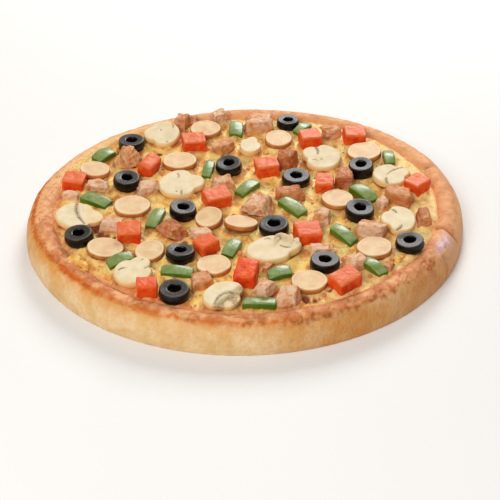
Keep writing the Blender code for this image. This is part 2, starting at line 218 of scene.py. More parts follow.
# Round the rim in degrees, 0 at the right and -90 in front: where it is cream, baked to a
# line, golden, folded, notched, and flaky with a painted sheen
ripple_place = np.concatenate(
    (dough[..., :2], 0.006 * across[..., None] + 0 * dough[..., :1]), axis=-1
)
patch = layered(dough, 0.014, 61)
blotch = layered(dough, 0.0050, 62)
fine = layered(dough, 0.0022, 63)
streaks = layered(ripple_place, 0.0019, 65)
facing = between(turns, -178, -50, 18) + 0.75 * between(turns, 60, 150, 25)
baked = between(turns, -186, -76, 20) * (0.75 + 0.5 * between(turns, -186, -142, 16))
dusky = between(turns, -68, -34, 24) * (0.85 + 0.3 * patch)
ridge_at = 0.35 - 0.10 * between(turns, -200, -166, 18) + 0.025 * layered(dough, 0.02, 64)
wall = step(0.05, -0.05, across - ridge_at + 0.10 + 0.05 * blotch + 0.03 * patch)
crown = 1 - wall
line = hump(across, ridge_at, 0.075 + 0.02 * blotch) * baked * (0.75 + 0.5 * patch + 0.45 * streaks)
fold_line = FOLD_AT - 1.4 * hump(across, 0.30, 0.25)
from_fold = degrees_from(turns, fold_line)
fold = hump(from_fold, 0, 0.50) * step(0.02, 0.10, across) * step(1.02, 0.85, across)
fold_lip = hump(from_fold, 1.9, 1.7) * step(0.10, 0.35, across)
from_notch = degrees_from(turns, NOTCH_AT)
notch = hump(from_notch, 0, 0.9) * hump(across, 0.66, 0.20)
# Painted sheen: the flaky patch below the fold is tinted lavender-white; its bumps are real relief
flaky_patch_sheen = step(0.8, 2.0, -from_fold) * step(0, 5, 13 + from_fold) * hump(across, 0.38, 0.20)
scab = between(turns, -78, -24, 8) * step(0.0, 0.5, layered(ripple_place, 0.0050, 66) + 0.5 * fine)
scab *= hump(across, 0.24 + 0.06 * patch, 0.09)
ripples = layered(ripple_place, 0.0040, 11)
calm = between(turns, -16, 150, 8)
creases = 1 - 1.6 * abs(layered(dough, 0.0080, 67, 2))
wrinkle = step(0.82, 0.98, creases) * crown * step(0.82, 0.62, across)
wrinkle *= 1 - calm
seam = hump(across, 0.80 + 0.05 * blotch, 0.030) * between(turns, -160, -80, 20)
seam *= step(-0.3, 0.3, patch + fine)
bumps = np.maximum(0, layered(dough, 0.0028, 23))
relief = (
    0.00055 * layered(dough, 0.018, 5)
    + (0.00065 * ripples + 0.00024 * streaks) * step(0.15, 0.35, across) * (1 - 0.5 * calm)
    + 0.00055 * blotch * crown * (1 - 0.6 * calm)
    - 0.00030 * seam
    - 0.00050 * wrinkle
    + 0.00012 * fine
    + 0.00012 * layered(dough, 0.006, 31) * wall
    + 0.00080 * bumps * line
    + 0.00050 * bumps * dusky * hump(across, 0.3, 0.25)
    - 0.00035 * np.maximum(0, fine) * scab
    - 0.00200 * fold
    + 0.00080 * fold_lip
    - 0.00080 * notch
    + 0.00035 * bumps * flaky_patch_sheen
    + BULGE_LEFT * between(turns, 168, 200, 14) * hump(across, 0.0, 0.25)
)
# The relief dies out at the foot, which stays flat on the ground
relief *= step(0.0, 0.08, up)
dough = dough + relief[..., None] * outward(dough)
# Dark brown: real char on the line's bubbles, the scabs and the specks, and painted shade in the
# fold, the notch, the wrinkles and the seam
char_and_crease_shade = 2.2 * bumps * line * step(-0.2, 0.4, patch) + fold + notch
char_and_crease_shade = char_and_crease_shade + 1.1 * scab + 0.8 * seam * (0.6 + fine)
char_and_crease_shade = char_and_crease_shade + wrinkle * (0.4 + 0.6 * fine)
specks = step(0.45, 0.70, layered(dough, 0.0018, 68)) * between(turns, 120, 192, 10)
specks = specks * step(0.3, 0.6, across)
char_and_crease_shade = char_and_crease_shade + 0.9 * specks
mottle = 0.5 * patch + 0.55 * blotch + 0.45 * fine + 0.5 * ripples + 0.35 * streaks
mottle = 0.5 + (1.25 - 0.75 * calm) * mottle
mottle += 0.16 * between(turns, -150, -70, 12) - 0.45 * between(turns, -215, -174, 12)
mottle += 0.24 * between(turns, -70, -40, 10) * step(0.4, 0.8, across) - 0.10 * calm
mottle -= 0.45 * wall * between(turns, -48, 20, 10) + 0.14 * between(turns, 14, 100, 12)
crust = make_surface(
    "dough",
    dough,
    painted={
        "pale": wall * facing,
        "dusky": np.clip(0.9 * dusky * step(0.42, 0.10, across + 0.08 * blotch), 0, 1),
        "line": np.clip(line * (0.95 + 0.7 * blotch), 0, 1),
        "char_and_crease_shade": np.clip(char_and_crease_shade, 0, 1),
        "flaky_patch_sheen": flaky_patch_sheen * step(-0.5, 0.2, fine),
        "halo": hump(across, ridge_at - 0.12, 0.16) * baked * (0.8 + 0.5 * streaks),
        "inner": step(0.76, 0.88, across) * between(turns, -150, -80, 12),
        "oily": between(turns, 115, 165, 15) * step(0.45, 0.65, across),
        "mottle": np.clip(mottle, 0, 1),
    },
)


class Wire:
    """A node's output that takes part in sums: each operator adds one Math node."""

    def __init__(self, tree, socket):
        self.tree = tree
        self.socket = socket

    def node(self, kind, settings=None, sockets=None, output=0):
        """Adds a node, sets its settings first, then fills or links its input sockets."""
        added = self.tree.nodes.new(kind)
        for name, value in (settings or {}).items():
            setattr(added, name, value)
        for name, value in (sockets or {}).items():
            if isinstance(value, Wire):
                self.tree.links.new(value.socket, added.inputs[name])
            else:
                added.inputs[name].default_value = value
        return Wire(self.tree, added.outputs[output])

    def math(self, operation, first, second):
        """One sum of two wires, or of a wire and a number."""
        return self.node("ShaderNodeMath", {"operation": operation}, {0: first, 1: second})

    def __add__(self, other):
        return self.math("ADD", self, other)

    def __radd__(self, other):
        return self.math("ADD", other, self)

    def __sub__(self, other):
        return self.math("SUBTRACT", self, other)

    def __rsub__(self, other):
        return self.math("SUBTRACT", other, self)

    def __mul__(self, other):
        return self.math("MULTIPLY", self, other)

    def __rmul__(self, other):
        return self.math("MULTIPLY", other, self)

    def rise(self, low, high):
        """0 where this is below low, 1 above high, and eased between them."""
        return self.node(
            "ShaderNodeMapRange",
            {"interpolation_type": "SMOOTHSTEP"},
            {"Value": self, "From Min": low, "From Max": high},
        )

    def speckle(self, size, detail=3.0, rough=0.55):
        """Noise from 0 to 1 on the piece's own coordinates, with features of this size."""
        place = self.node("ShaderNodeTexCoord", output="Object")
        return self.node(
            "ShaderNodeTexNoise",
            {"noise_dimensions": "3D"},
            {"Vector": place, "Scale": 1 / size, "Detail": detail, "Roughness": rough},
        )

    def painted(self, label):
        """The numbers that were painted on the mesh under this label."""
        return self.node("ShaderNodeAttribute", {"attribute_name": label}, output="Fac")

    def mix(self, share, first, second):
        """The first colour where share is 0, and the second where it is 1."""
        return self.node(
            "ShaderNodeMix",
            {"data_type": "RGBA"},
            {0: share, "A": first, "B": second},
            output="Result",
        )

    def bump(self, height, distance, strength):
        """The normal of a surface raised by this height, in units of the distance."""
        return self.node(
            "ShaderNodeBump", {}, {"Height": height, "Distance": distance, "Strength": strength}
        )


def tint(red, green, blue):
    """A colour seen on a screen, 0 to 255 each, as the linear numbers that a shader takes."""
    seen = np.array((red, green, blue)) / 255
    linear = np.where(seen <= 0.04045, seen / 12.92, ((seen + 0.055) / 1.055) ** 2.4)
    return (*linear.tolist(), 1.0)


def new_finish(name, **constants):
    """A material with its Principled shader's fixed values set, and a wire to start from."""
    finish = bpy.data.materials.new(name)
    finish.use_nodes = True
    shader = finish.node_tree.nodes["Principled BSDF"]
    for socket, value in constants.items():
        shader.inputs[socket.replace("_", " ")].default_value = value
    return finish, Wire(finish.node_tree, shader.outputs[0])


def dress(wire, colour, roughness=None, normal=None):
    """Links what varies over the surface to the Principled shader."""
    shader = wire.tree.nodes["Principled BSDF"]
    for name, source in (("Base Color", colour), ("Roughness", roughness), ("Normal", normal)):
        if source is not None:
            wire.tree.links.new(source.socket, shader.inputs[name])


def dough_finish():
    """Cream wall, peach crown, an orange-brown line between them, a few dark scabs, painted
    shade in the rim's creases, and a painted lavender sheen on the flaky patch below the fold.
    """
    finish, wire = new_finish("baked dough", Subsurface_Weight=0.03, Specular_IOR_Level=0.2)
    mottle = wire.painted("mottle")
    fleck = wire.speckle(0.0026, 4.0, 0.6).rise(0.36, 0.68)
    cloud = wire.speckle(0.0130, 4.0, 0.5).rise(0.35, 0.65)
    pale = wire.mix(cloud, tint(236, 203, 156), tint(221, 183, 126))
    pale = wire.mix(fleck * 0.22, pale, tint(210, 160, 98))
    peach = wire.mix(mottle, tint(241, 181, 125), tint(201, 117, 61))
    peach = wire.mix(fleck * 0.3, peach, tint(226, 150, 112))
    base = wire.mix(wire.painted("pale"), peach, pale)
    base = wire.mix(wire.painted("dusky") * (0.7 + 0.3 * cloud), base, tint(206, 136, 66))
    base = wire.mix(wire.painted("oily") * 0.7, base, tint(244, 200, 134))
    base = wire.mix(wire.painted("inner") * (0.4 + 0.6 * fleck), base, tint(184, 86, 42))
    base = wire.mix(wire.painted("halo") * (0.50 + 0.4 * cloud), base, tint(224, 148, 60))
    edge = (wire.painted("line") * 1.2 + (fleck - 0.5) * 0.5).rise(0.0, 1.25)
    base = wire.mix(edge * 0.95, base, tint(208, 98, 16))
    # One dark brown for real char and for painted shade in the fold, notch, wrinkles and seam
    base = wire.mix(wire.painted("char_and_crease_shade") * (0.45 + 0.5 * fleck), base, tint(150, 74, 32))
    # Painted sheen: lavender-white on the flaky patch
    base = wire.mix(wire.painted("flaky_patch_sheen") * (0.5 + 0.5 * fleck), base, tint(244, 212, 224))
    pores = wire.speckle(0.0016, 4.0, 0.6)
    gloss = 0.48 + 0.2 * pores - 0.1 * wire.painted("oily")
    dress(wire, base, gloss, wire.bump(pores + fleck * 0.7, 0.0006, 0.7))
    return finish


crust.data.materials.append(dough_finish())
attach(crust, "root")
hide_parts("crust")

# The toppings' places, shared by the cheese that melts round them: where each lies, which
# way it is turned, and how large it is, as in the solids. Pieces lie a hair above the
# cheese, or are sunk in it a little where they are baked into it.
CHEESE_TOP = 0.0170
GAP = 0.0003
SINK = 0.0014

# Olive rings: x, y, radius, height, lean about X, lean about Y (degrees)
OLIVES = (
    (-0.0760, 0.0690, 0.0088, 0.0066, 0, 0),
    (-0.0755, 0.0200, 0.0086, 0.0070, 4, 3),
    (-0.0115, 0.0385, 0.0086, 0.0068, 6, -3),
    (0.0275, 0.0980, 0.0077, 0.0062, 0, 0),
    (0.0305, 0.0235, 0.0090, 0.0066, 3, 0),
    (0.0722, 0.0345, 0.0083, 0.0082, 4, -3),
    (-0.0390, -0.0145, 0.0084, 0.0070, 3, 4),
    (-0.0980, -0.0430, 0.0086, 0.0070, 3, -4),
    (-0.0385, -0.0610, 0.0085, 0.0064, -6, 2),
    (-0.0400, -0.0980, 0.0088, 0.0068, 3, 0),
    (0.0160, -0.0325, 0.0092, 0.0066, 2, -4),
    (0.0675, -0.0150, 0.0090, 0.0070, 4, 3),
    (0.0945, -0.0495, 0.0085, 0.0062, 3, -5),
    (0.0440, -0.0685, 0.0087, 0.0062, 0, 0),
)

# Mushroom slices: x, y, direction of the stem (degrees), width, length, lean X, lean Y, how
# much lower its stem half lies
MUSHROOMS = (
    (-0.0560, 0.0790, 185, 0.0230, 0.0230, 14, 0, 0),
    (-0.0415, 0.0160, 8, 0.0255, 0.0275, 8, 0, 0),
    (0.0480, 0.0485, 150, 0.0240, 0.0245, 10, 0, 0),
    (0.0900, 0.0270, 25, 0.0205, 0.0235, 7, 4, 0),
    (-0.1015, -0.0205, -4, 0.0245, 0.0275, 4, 3, 0.0010),
    (-0.0640, -0.0785, 62, 0.0215, 0.0240, 6, 0, 0),
    (-0.0130, -0.1010, -55, 0.0240, 0.0200, 6, -4, 0.0018),
    (0.0145, -0.0565, 12, 0.0225, 0.0310, 6, -3, 0),
    (0.0905, -0.0240, 176, 0.0260, 0.0200, 3, 0, 0),
    (0.0015, 0.0645, 75, 0.0135, 0.0170, 8, 8, 0),
)

# Sausage rounds: x, y, radius, direction of the long side, lean X, lean Y
SAUSAGES = (
    (-0.0280, 0.0885, 0.0097, 0, 6, 0),
    (-0.0435, 0.0465, 0.0104, 10, 2, 0),
    (-0.0970, 0.0350, 0.0092, 0, 2, 4),
    (0.0205, 0.0750, 0.0092, 70, 5, 3),
    (0.0760, 0.0580, 0.0108, 10, 3, -2),
    (0.0550, -0.0003, 0.0097, 15, 2, 4),
    (-0.0700, -0.0085, 0.0106, 10, 4, 3),
    (-0.0822, -0.0540, 0.0102, 170, 2, 3),
    (-0.0560, -0.0572, 0.0090, 80, 5, -3),
    (-0.0225, -0.0225, 0.0087, 95, 9, -8),
    (-0.0190, -0.0710, 0.0097, 10, 2, 0),
    (0.0735, -0.0532, 0.0100, 0, 3, -2),
    (0.0345, -0.0868, 0.0098, 0, 3, 0),
    (-0.0040, -0.0290, 0.0096, 10, -10, 6),
)

# Tomato dice: x, y, turn (degrees), length, width, height, lean X, lean Y, how deep a red
# the top is (share), how rounded (averagings)
TOMATOES = (
    (-0.0350, 0.0690, 8, 0.0150, 0.0128, 0.0080, 3, 0, 0.00, 3),
    (-0.0620, 0.0380, 66, 0.0175, 0.0104, 0.0088, 5, 12, 0.10, 30),
    (-0.1080, 0.0195, -8, 0.0135, 0.0125, 0.0076, 3, 4, 0.00, 5),
    (0.0410, 0.0725, 14, 0.0130, 0.0125, 0.0086, 4, 0, 0.15, 3),
    (0.0710, 0.0775, 4, 0.0140, 0.0125, 0.0080, 4, 3, 0.00, 6),
    (0.0125, 0.0360, 10, 0.0145, 0.0125, 0.0086, 3, -3, 0.00, 3),
    (0.0480, 0.0160, -4, 0.0112, 0.0125, 0.0082, 5, -3, 0.00, 3),
    (0.1055, 0.0150, 42, 0.0122, 0.0122, 0.0080, 3, -4, 0.00, 3),
    (-0.0185, -0.0020, 22, 0.0160, 0.0128, 0.0086, 4, 3, 0.25, 3),
    (-0.0690, -0.0405, 4, 0.0135, 0.0120, 0.0084, 8, 0, 0.00, 3),
    (-0.0235, -0.0535, 35, 0.0120, 0.0110, 0.0080, 3, -6, 0.50, 8),
    (-0.0553, -0.0950, 3, 0.0113, 0.0095, 0.0088, 2, 0, 0.80, 3),
    (-0.0005, -0.0825, 78, 0.0165, 0.0125, 0.0090, 5, -3, 1.00, 6),
    (0.0355, -0.0410, 12, 0.0150, 0.0140, 0.0084, 4, 5, 0.35, 5),
    (0.0543, -0.0880, 38, 0.0152, 0.0120, 0.0084, 5, 0, 0.00, 3),
)

# Pepper strips: x, y, turn (degrees), length, width, arch of the middle, lean about X
PEPPERS = (
    (-0.0075, 0.0900, 88, 0.0150, 0.0096, 0.0006, 6),
    (-0.0930, 0.0540, 45, 0.0140, 0.0095, 0.0014, 10),
    (-0.0248, 0.0365, 80, 0.0170, 0.0066, 0.0010, 5),
    (0.0000, 0.0140, 52, 0.0175, 0.0084, 0.0012, 4),
    (-0.0925, -0.0010, -28, 0.0190, 0.0084, 0.0012, 8),
    (0.0370, 0.0905, 50, 0.0145, 0.0068, 0.0014, 4),
    (0.0915, 0.0520, -86, 0.0150, 0.0074, 0.0012, 3),
    (0.0718, 0.0065, -50, 0.0185, 0.0088, 0.0018, 10),
    (-0.0550, -0.0215, 74, 0.0180, 0.0082, 0.0010, 5),
    (-0.0725, -0.0655, 30, 0.0155, 0.0078, 0.0014, 10),
    (-0.0395, -0.0765, -8, 0.0185, 0.0074, 0.0012, 8),
    (-0.0090, -0.0530, 68, 0.0150, 0.0085, 0.0008, 6),
    (0.0275, -0.0085, -48, 0.0190, 0.0088, 0.0010, 8),
    (0.0565, -0.0395, -50, 0.0185, 0.0080, 0.0014, 8),
    (0.0180, -0.0782, 20, 0.0140, 0.0083, 0.0014, 8),
    (0.0070, -0.1055, -2, 0.0185, 0.0080, 0.0006, -6),
    (0.0710, -0.0715, -50, 0.0180, 0.0074, 0.0022, 4),
)

# Chicken chunks: x, y, turn, length, width, height above the cheese, how far roasted, how
# far shredded and how far it narrows upwards (shares)
CHICKEN = (
    (-0.0445, 0.0945, 70, 0.0160, 0.0110, 0.0110, 0.35, 0.5, 0.40),
    (-0.0365, 0.1005, 80, 0.0085, 0.0060, 0.0060, 0.60, 0.8, 0.15),
    (-0.0200, 0.1045, 20, 0.0115, 0.0105, 0.0085, 0.00, 0.1, 0.15),
    (-0.0765, 0.0495, 80, 0.0205, 0.0180, 0.0108, 0.40, 1.0, 0.50),
    (-0.0155, 0.0660, 45, 0.0160, 0.0140, 0.0070, 0.22, 0.0, 0.05),
    (-0.0922, 0.0165, 0, 0.0160, 0.0120, 0.0060, 0.10, 0.4, 0.15),
    (-0.0625, 0.0120, 30, 0.0145, 0.0110, 0.0070, 0.05, 0.5, 0.15),
    (-0.0155, 0.0185, 10, 0.0145, 0.0115, 0.0070, 0.10, 0.2, 0.15),
    (-0.1090, 0.0050, 0, 0.0120, 0.0075, 0.0050, 0.10, 0.2, 0.15),
    (0.0075, 0.0960, 10, 0.0205, 0.0170, 0.0085, 0.20, 0.6, 0.10),
    (0.0265, 0.0480, 75, 0.0215, 0.0150, 0.0100, 0.95, 0.5, 0.25),
    (0.0560, 0.0845, 20, 0.0150, 0.0120, 0.0070, 0.35, 0.9, 0.15),
    (0.0612, 0.0225, 80, 0.0155, 0.0120, 0.0090, 0.80, 0.3, 0.15),
    (0.0250, 0.0060, 15, 0.0190, 0.0115, 0.0070, 0.65, 0.4, 0.20),
    (0.0925, 0.0035, -35, 0.0205, 0.0135, 0.0085, 0.50, 0.3, 0.15),
    (0.1055, -0.0205, -80, 0.0155, 0.0095, 0.0070, 0.70, 0.5, 0.35),
    (-0.0795, -0.0285, -5, 0.0150, 0.0090, 0.0060, 0.00, 0.4, 0.15),
    (-0.0440, -0.0345, -50, 0.0200, 0.0130, 0.0080, 0.85, 1.0, 0.35),
    (-0.0275, -0.0385, 15, 0.0140, 0.0080, 0.0060, 0.00, 0.3, 0.15),
    (-0.0260, -0.0865, 20, 0.0165, 0.0125, 0.0060, 0.45, 0.1, 0.15),
    (0.0060, -0.0080, 70, 0.0205, 0.0185, 0.0085, 0.14, 0.7, 0.30),
    (0.0445, -0.0195, 80, 0.0190, 0.0120, 0.0070, 0.18, 0.7, 0.30),
    (0.0740, -0.0340, -20, 0.0195, 0.0140, 0.0080, 0.10, 0.3, 0.15),
    (0.0420, -0.0545, 8, 0.0165, 0.0090, 0.0060, 0.00, 0.8, 0.15),
    (0.0608, -0.0685, 35, 0.0160, 0.0135, 0.0070, 0.12, 0.6, 0.30),
    (0.0095, -0.0955, 60, 0.0155, 0.0120, 0.0085, 0.16, 0.4, 0.35),
    (0.0225, -0.1015, 75, 0.0165, 0.0140, 0.0080, 0.12, 0.2, 0.40),
    (0.0830, -0.0030, 40, 0.0080, 0.0070, 0.0050, 0.10, 0.3, 0.15),
    (0.0800, -0.0705, 70, 0.0090, 0.0055, 0.0040, 0.50, 0.5, 0.15),
    (0.0110, -0.0725, 60, 0.0080, 0.0060, 0.0045, 0.40, 0.3, 0.15),
)

# The cheese: a layer that melted and ran to the rim, blistered and browned where it stood
# up, and pulled down between the toppings, with sauce showing through in places. It is a
# disc of points lifted to the cheese's height, with a thin wall and a flat underside.
CHEESE_CELLS = 300
CHEESE_UNDER = HOLLOW_FLOOR + GAP
UNDERSIDE_SHARE = 0.985
POOL_DEPTH = 0.0007


def topping_distance(x, y):
    """How far a point lies outside the nearest topping's ellipse: negative under it."""
    ellipses = [(at_x, at_y, 0, r, r) for at_x, at_y, r, *_ in OLIVES + SAUSAGES]
    for at_x, at_y, turn, width, length, *_ in MUSHROOMS:
        ellipses.append((at_x, at_y, turn, length / 2, width / 2))
    for at_x, at_y, turn, length, width, *_ in TOMATOES + PEPPERS + CHICKEN:
        ellipses.append((at_x, at_y, turn, length / 2, width / 2))
    nearest = np.full(x.shape, 1.0)
    for at_x, at_y, turn, long_half, short_half in ellipses:
        cos, sin = math.cos(math.radians(turn)), math.sin(math.radians(turn))
        along = ((x - at_x) * cos + (y - at_y) * sin) / long_half
        aside = ((y - at_y) * cos - (x - at_x) * sin) / short_half
        reach = np.maximum(np.hypot(along, aside), 1e-6)
        nearest = np.minimum(nearest, (reach - 1) * min(long_half, short_half))
    return nearest


def spots(x, y, spacing, seed):
    """Distance to the nearest of scattered spots, one in each square of this spacing, in
    units of the spacing, with that spot's own random number from 0 to 1."""
    column, row = np.floor(x / spacing), np.floor(y / spacing)
    nearest = np.full(x.shape, 9.0)
    number = np.zeros(x.shape)
    for right, back in np.ndindex(3, 3):
        square = np.stack((column + right - 1, row + back - 1, 0 * row), axis=-1).astype(np.int64)
        spot_x = square[..., 0] + 0.5 + 0.42 * random_corner(square, seed)
        spot_y = square[..., 1] + 0.5 + 0.42 * random_corner(square, seed + 1)
        away = np.hypot(x / spacing - spot_x, y / spacing - spot_y)
        closer = away < nearest
        nearest = np.where(closer, away, nearest)
        number = np.where(closer, random_corner(square, seed + 2) / 2 + 0.5, number)
    return nearest, number


def disc_points(cells):
    """A square grid pressed into a disc of radius 1: x is u times the root of 1 - v²/2."""
    way = np.linspace(-1, 1, cells)
    u, v = np.meshgrid(way, way, indexing="ij")
    return u * np.sqrt(1 - v * v / 2), v * np.sqrt(1 - u * u / 2)


disc_x, disc_y = disc_points(CHEESE_CELLS)
share = np.hypot(disc_x, disc_y)
bearing = np.arctan2(disc_y, disc_x)
circle = np.stack((np.cos(bearing), np.sin(bearing), 0 * bearing), axis=-1)
# How far from the wall its ragged edge stops, in rim widths: it ran up the rim's inner side
ragged = layered(circle, 0.10, 71, 4)
lap = 0.84 - 0.10 * ragged * (1 - 0.5 * between(bearing, -40, 70, 15))
lap -= 0.16 * between(bearing, 118, 165, 14)
reach = edge_radius(bearing) - lap * rim_width(bearing)
melt_x, melt_y = share * reach * np.cos(bearing), share * reach * np.sin(bearing)
flat = np.stack((melt_x, melt_y, 0 * melt_x), axis=-1)
inset = (edge_radius(bearing) - share * reach) / rim_width(bearing)
order = np.argsort(section[:, 0])
slope = np.interp(inset, section[order, 0], section[order, 1]) * crest_height(bearing)
# Its height: low lumps and threads, blisters, and a little bank round each topping
away = topping_distance(melt_x, melt_y)
blister, size_of = spots(melt_x, melt_y, 0.0060, 81)
blister = step(0.22 + 0.25 * size_of, 0.05, blister) * (size_of > 0.35)
open_cheese = step(0.0, 0.0035, away)
lumps = layered(flat, 0.0070, 83, 4)
lumps = lumps * (1 - 0.5 * between(bearing, -62, 70, 18) * step(0.74, 0.90, share))
threads = 1 - abs(layered(flat * (1.0, 0.6, 1.0), 0.0060, 85))
melt = (
    CHEESE_TOP
    - 0.0010 * open_cheese
    + 0.00110 * lumps
    + 0.00070 * threads**3
    + 0.0012 * hump(away, 0.0, 0.0013)
    + 0.0008 * blister * open_cheese
)
# Where it lies on the rim it follows the dough, a thin coat above it
on_slope = step(1.10, 0.98, inset)
climb = np.maximum(melt, slope + 0.0005 + 0.0003 * lumps)
melt = (1 - on_slope) * melt + on_slope * climb
melt -= 0.0009 * step(0.975, 1.0, share)
cheese_grid = np.stack((melt_x, melt_y, melt), axis=-1)
toasted = layered(flat, 0.0065, 93, 4)

# Pools where the cheese ran thin over the dark red sauce: x, y, and how wide each is
SAUCE_POOLS = (
    (-0.0895, -0.0292, 0.0036),
    (-0.0872, -0.0342, 0.0036),
    (-0.0830, -0.0354, 0.0026),
    (-0.0780, -0.0364, 0.0018),
    (-0.0571, 0.0613, 0.0022),
    (0.0282, -0.0335, 0.0024),
    (-0.0299, -0.0486, 0.0022),
    (0.0322, -0.0988, 0.0030),
    (0.0372, -0.0990, 0.0018),
    (0.0459, -0.0913, 0.0014),
    (-0.0040, -0.0665, 0.0022),
    (0.0560, 0.0262, 0.0022),
    (-0.0605, 0.0985, 0.0020),
    (-0.0365, -0.0445, 0.0022),
    (0.0655, 0.0135, 0.0020),
    (0.0100, -0.0225, 0.0022),
)
pools = [hump(np.hypot(melt_x - x, melt_y - y), 0, wide) for x, y, wide in SAUCE_POOLS]
pool = np.max(pools, axis=0)
cheese_grid[..., 2] -= POOL_DEPTH * pool


def make_cheese(grid, painted):
    """The grid's quads, a wall down from its border, and one face under it."""
    cells = grid.shape[0]
    here = np.arange(cells * cells).reshape(cells, cells)
    quads = np.stack((here[:-1, :-1], here[1:, :-1], here[1:, 1:], here[:-1, 1:]), axis=-1)
    border = np.concatenate((here[:-1, 0], here[-1, :-1], here[:0:-1, -1], here[0, :0:-1]))
    under = np.arange(len(border)) + cells * cells
    skirt = np.stack((border, under, np.roll(under, -1), np.roll(border, -1)), axis=-1)
    shrink = (UNDERSIDE_SHARE, UNDERSIDE_SHARE, 0)
    low = grid.reshape(-1, 3)[border] * shrink + (0, 0, CHEESE_UNDER)
    points = np.concatenate((grid.reshape(-1, 3), low))
    faces = quads.reshape(-1, 4).tolist() + skirt.tolist() + [under[::-1].tolist()]
    bare = np.zeros(len(border))
    full = {label: np.concatenate((values.ravel(), bare)) for label, values in painted.items()}
    return new_piece("melted_cheese", points, faces, full)


near_rim = step(0.91, 1.0, share)
creamy = between(bearing, -62, 70, 18) * step(0.74, 0.90, share) * step(-0.5, 0.3, ragged + 0.6)
cheese = make_cheese(
    cheese_grid,
    {
        "browned": np.clip(0.9 * blister * open_cheese + 0.9 * toasted + 0.25 * near_rim, 0, 1),
        "hollow": step(0.15, -0.35, lumps + 0.6 * (threads - 0.6)),
        "sauce": step(0.0, 0.45, layered(flat, 0.010, 91)) * step(0.0040, 0.0, away),
        "pool": np.clip(pool, 0, 1),
        "rim": near_rim * between(bearing, -175, -95, 20),
        "edge": step(0.965, 0.998, share + 0.006 * toasted),
        "creamy": creamy,
        # Painted shade: dark brown in broken patches where the cheese meets a topping
        "contact_shade": step(0.0024, 0.0003, away) * step(-0.5, 0.3, layered(flat, 0.008, 95)),
    },
)


def cheese_finish():
    """Pale yellow cheese, orange-brown blisters, red sauce in the hollows, a greasy gloss, and
    painted shade where the cheese meets the toppings.
    """
    finish, wire = new_finish(
        "melted cheese", Subsurface_Weight=0.08, Coat_Weight=0.05, Specular_IOR_Level=0.26
    )
    cloud = wire.speckle(0.009, 4.0).rise(0.38, 0.60)
    grain = wire.speckle(0.0030, 5.0, 0.60)
    base = wire.mix(cloud, tint(255, 230, 148), tint(255, 208, 116))
    base = wire.mix(grain.rise(0.50, 0.66) * 0.5, base, tint(250, 177, 92))
    base = wire.mix(grain.rise(0.60, 0.72) * 0.55, base, tint(214, 116, 40))
    base = wire.mix(wire.painted("hollow") * 0.5, base, tint(238, 160, 82))
    # Painted shade next to the toppings
    base = wire.mix(wire.painted("contact_shade") * (0.4 + 0.7 * grain), base, tint(166, 76, 20))
    spotted = (wire.painted("browned") + (grain - 0.5) * 1.4).rise(0.25, 0.75)
    base = wire.mix(spotted * 0.7, base, tint(230, 138, 62))
    base = wire.mix(spotted.rise(0.8, 1.0) * grain.rise(0.5, 0.7) * 0.6, base, tint(178, 88, 40))
    base = wire.mix(wire.painted("sauce") * grain.rise(0.35, 0.60) * 0.85, base, tint(178, 84, 34))
    base = wire.mix(wire.painted("rim") * (0.3 + 0.5 * grain), base, tint(206, 104, 56))
    base = wire.mix(wire.painted("creamy") * (0.85 - 0.5 * grain), base, tint(252, 208, 140))
    pooled = (wire.painted("pool") + (grain - 0.5) * 0.5).rise(0.2, 0.8)
    base = wire.mix(pooled * 0.9, base, tint(122, 30, 10))
    base = wire.mix(wire.painted("edge") * 0.8, base, tint(228, 154, 98))
    dress(wire, base, 0.36 + 0.3 * grain, wire.bump(grain, 0.0014, 0.9))
    return finish


cheese.data.materials.append(cheese_finish())
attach(cheese, "root")
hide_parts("cheese")

# Green pepper: strips cut across the wall of a pepper, skin side up, glossy and dark on the
# skin, paler where they were cut. Each is a bar with rounded edges, arched as it cooked.
PEPPER_THICKNESS = 0.0050
PEPPER_SEED = 200

# Where a face closes to its middle, its last points stop this share of the way out
PINHOLE = 0.03


def rounded_bar(length, width, height, around=56, along=44, passes=2):
    """A block's points: a rounded oblong section, carried along a path that starts at the
    middle of one end, goes out to the sides, runs the length, and comes in at the other."""
    half = width / 2
    edge = ((half, height / 2), (-half, height / 2), (-half, -height / 2), (half, -height / 2))
    ring = rounded_path(edge, around, passes, closed=True)
    inner = PINHOLE * half
    run = ((-length / 2, inner), (-length / 2, half), (length / 2, half), (length / 2, inner))
    path = rounded_path(run, along, passes)
    share = path[None, :, 1] / half
    lengthwise = path[None, :, 0] + 0 * ring[:, :1]
    return np.stack((lengthwise, ring[:, :1] * share, ring[:, 1:] * share), axis=-1)


def turned(degrees, lean_x=0.0, lean_y=0.0):
    """The matrix of a turn about Z, then a lean about Y, then a lean about X."""
    z, x, y = (math.radians(a) for a in (degrees, lean_x, lean_y))
    about_z = np.array(((math.cos(z), -math.sin(z), 0), (math.sin(z), math.cos(z), 0), (0, 0, 1)))
    about_y = np.array(((math.cos(y), 0, math.sin(y)), (0, 1, 0), (-math.sin(y), 0, math.cos(y))))
    about_x = np.array(((1, 0, 0), (0, math.cos(x), -math.sin(x)), (0, math.sin(x), math.cos(x))))
    return about_x @ about_y @ about_z


def set_down(grid, x, y, turn, lean_x=0.0, lean_y=0.0, bottom=CHEESE_TOP + GAP):
    """Turns and leans a piece's points, and lowers the lowest on to the cheese."""
    placed = grid @ turned(turn, lean_x, lean_y).T
    return placed + (x, y, bottom - placed[..., 2].min())


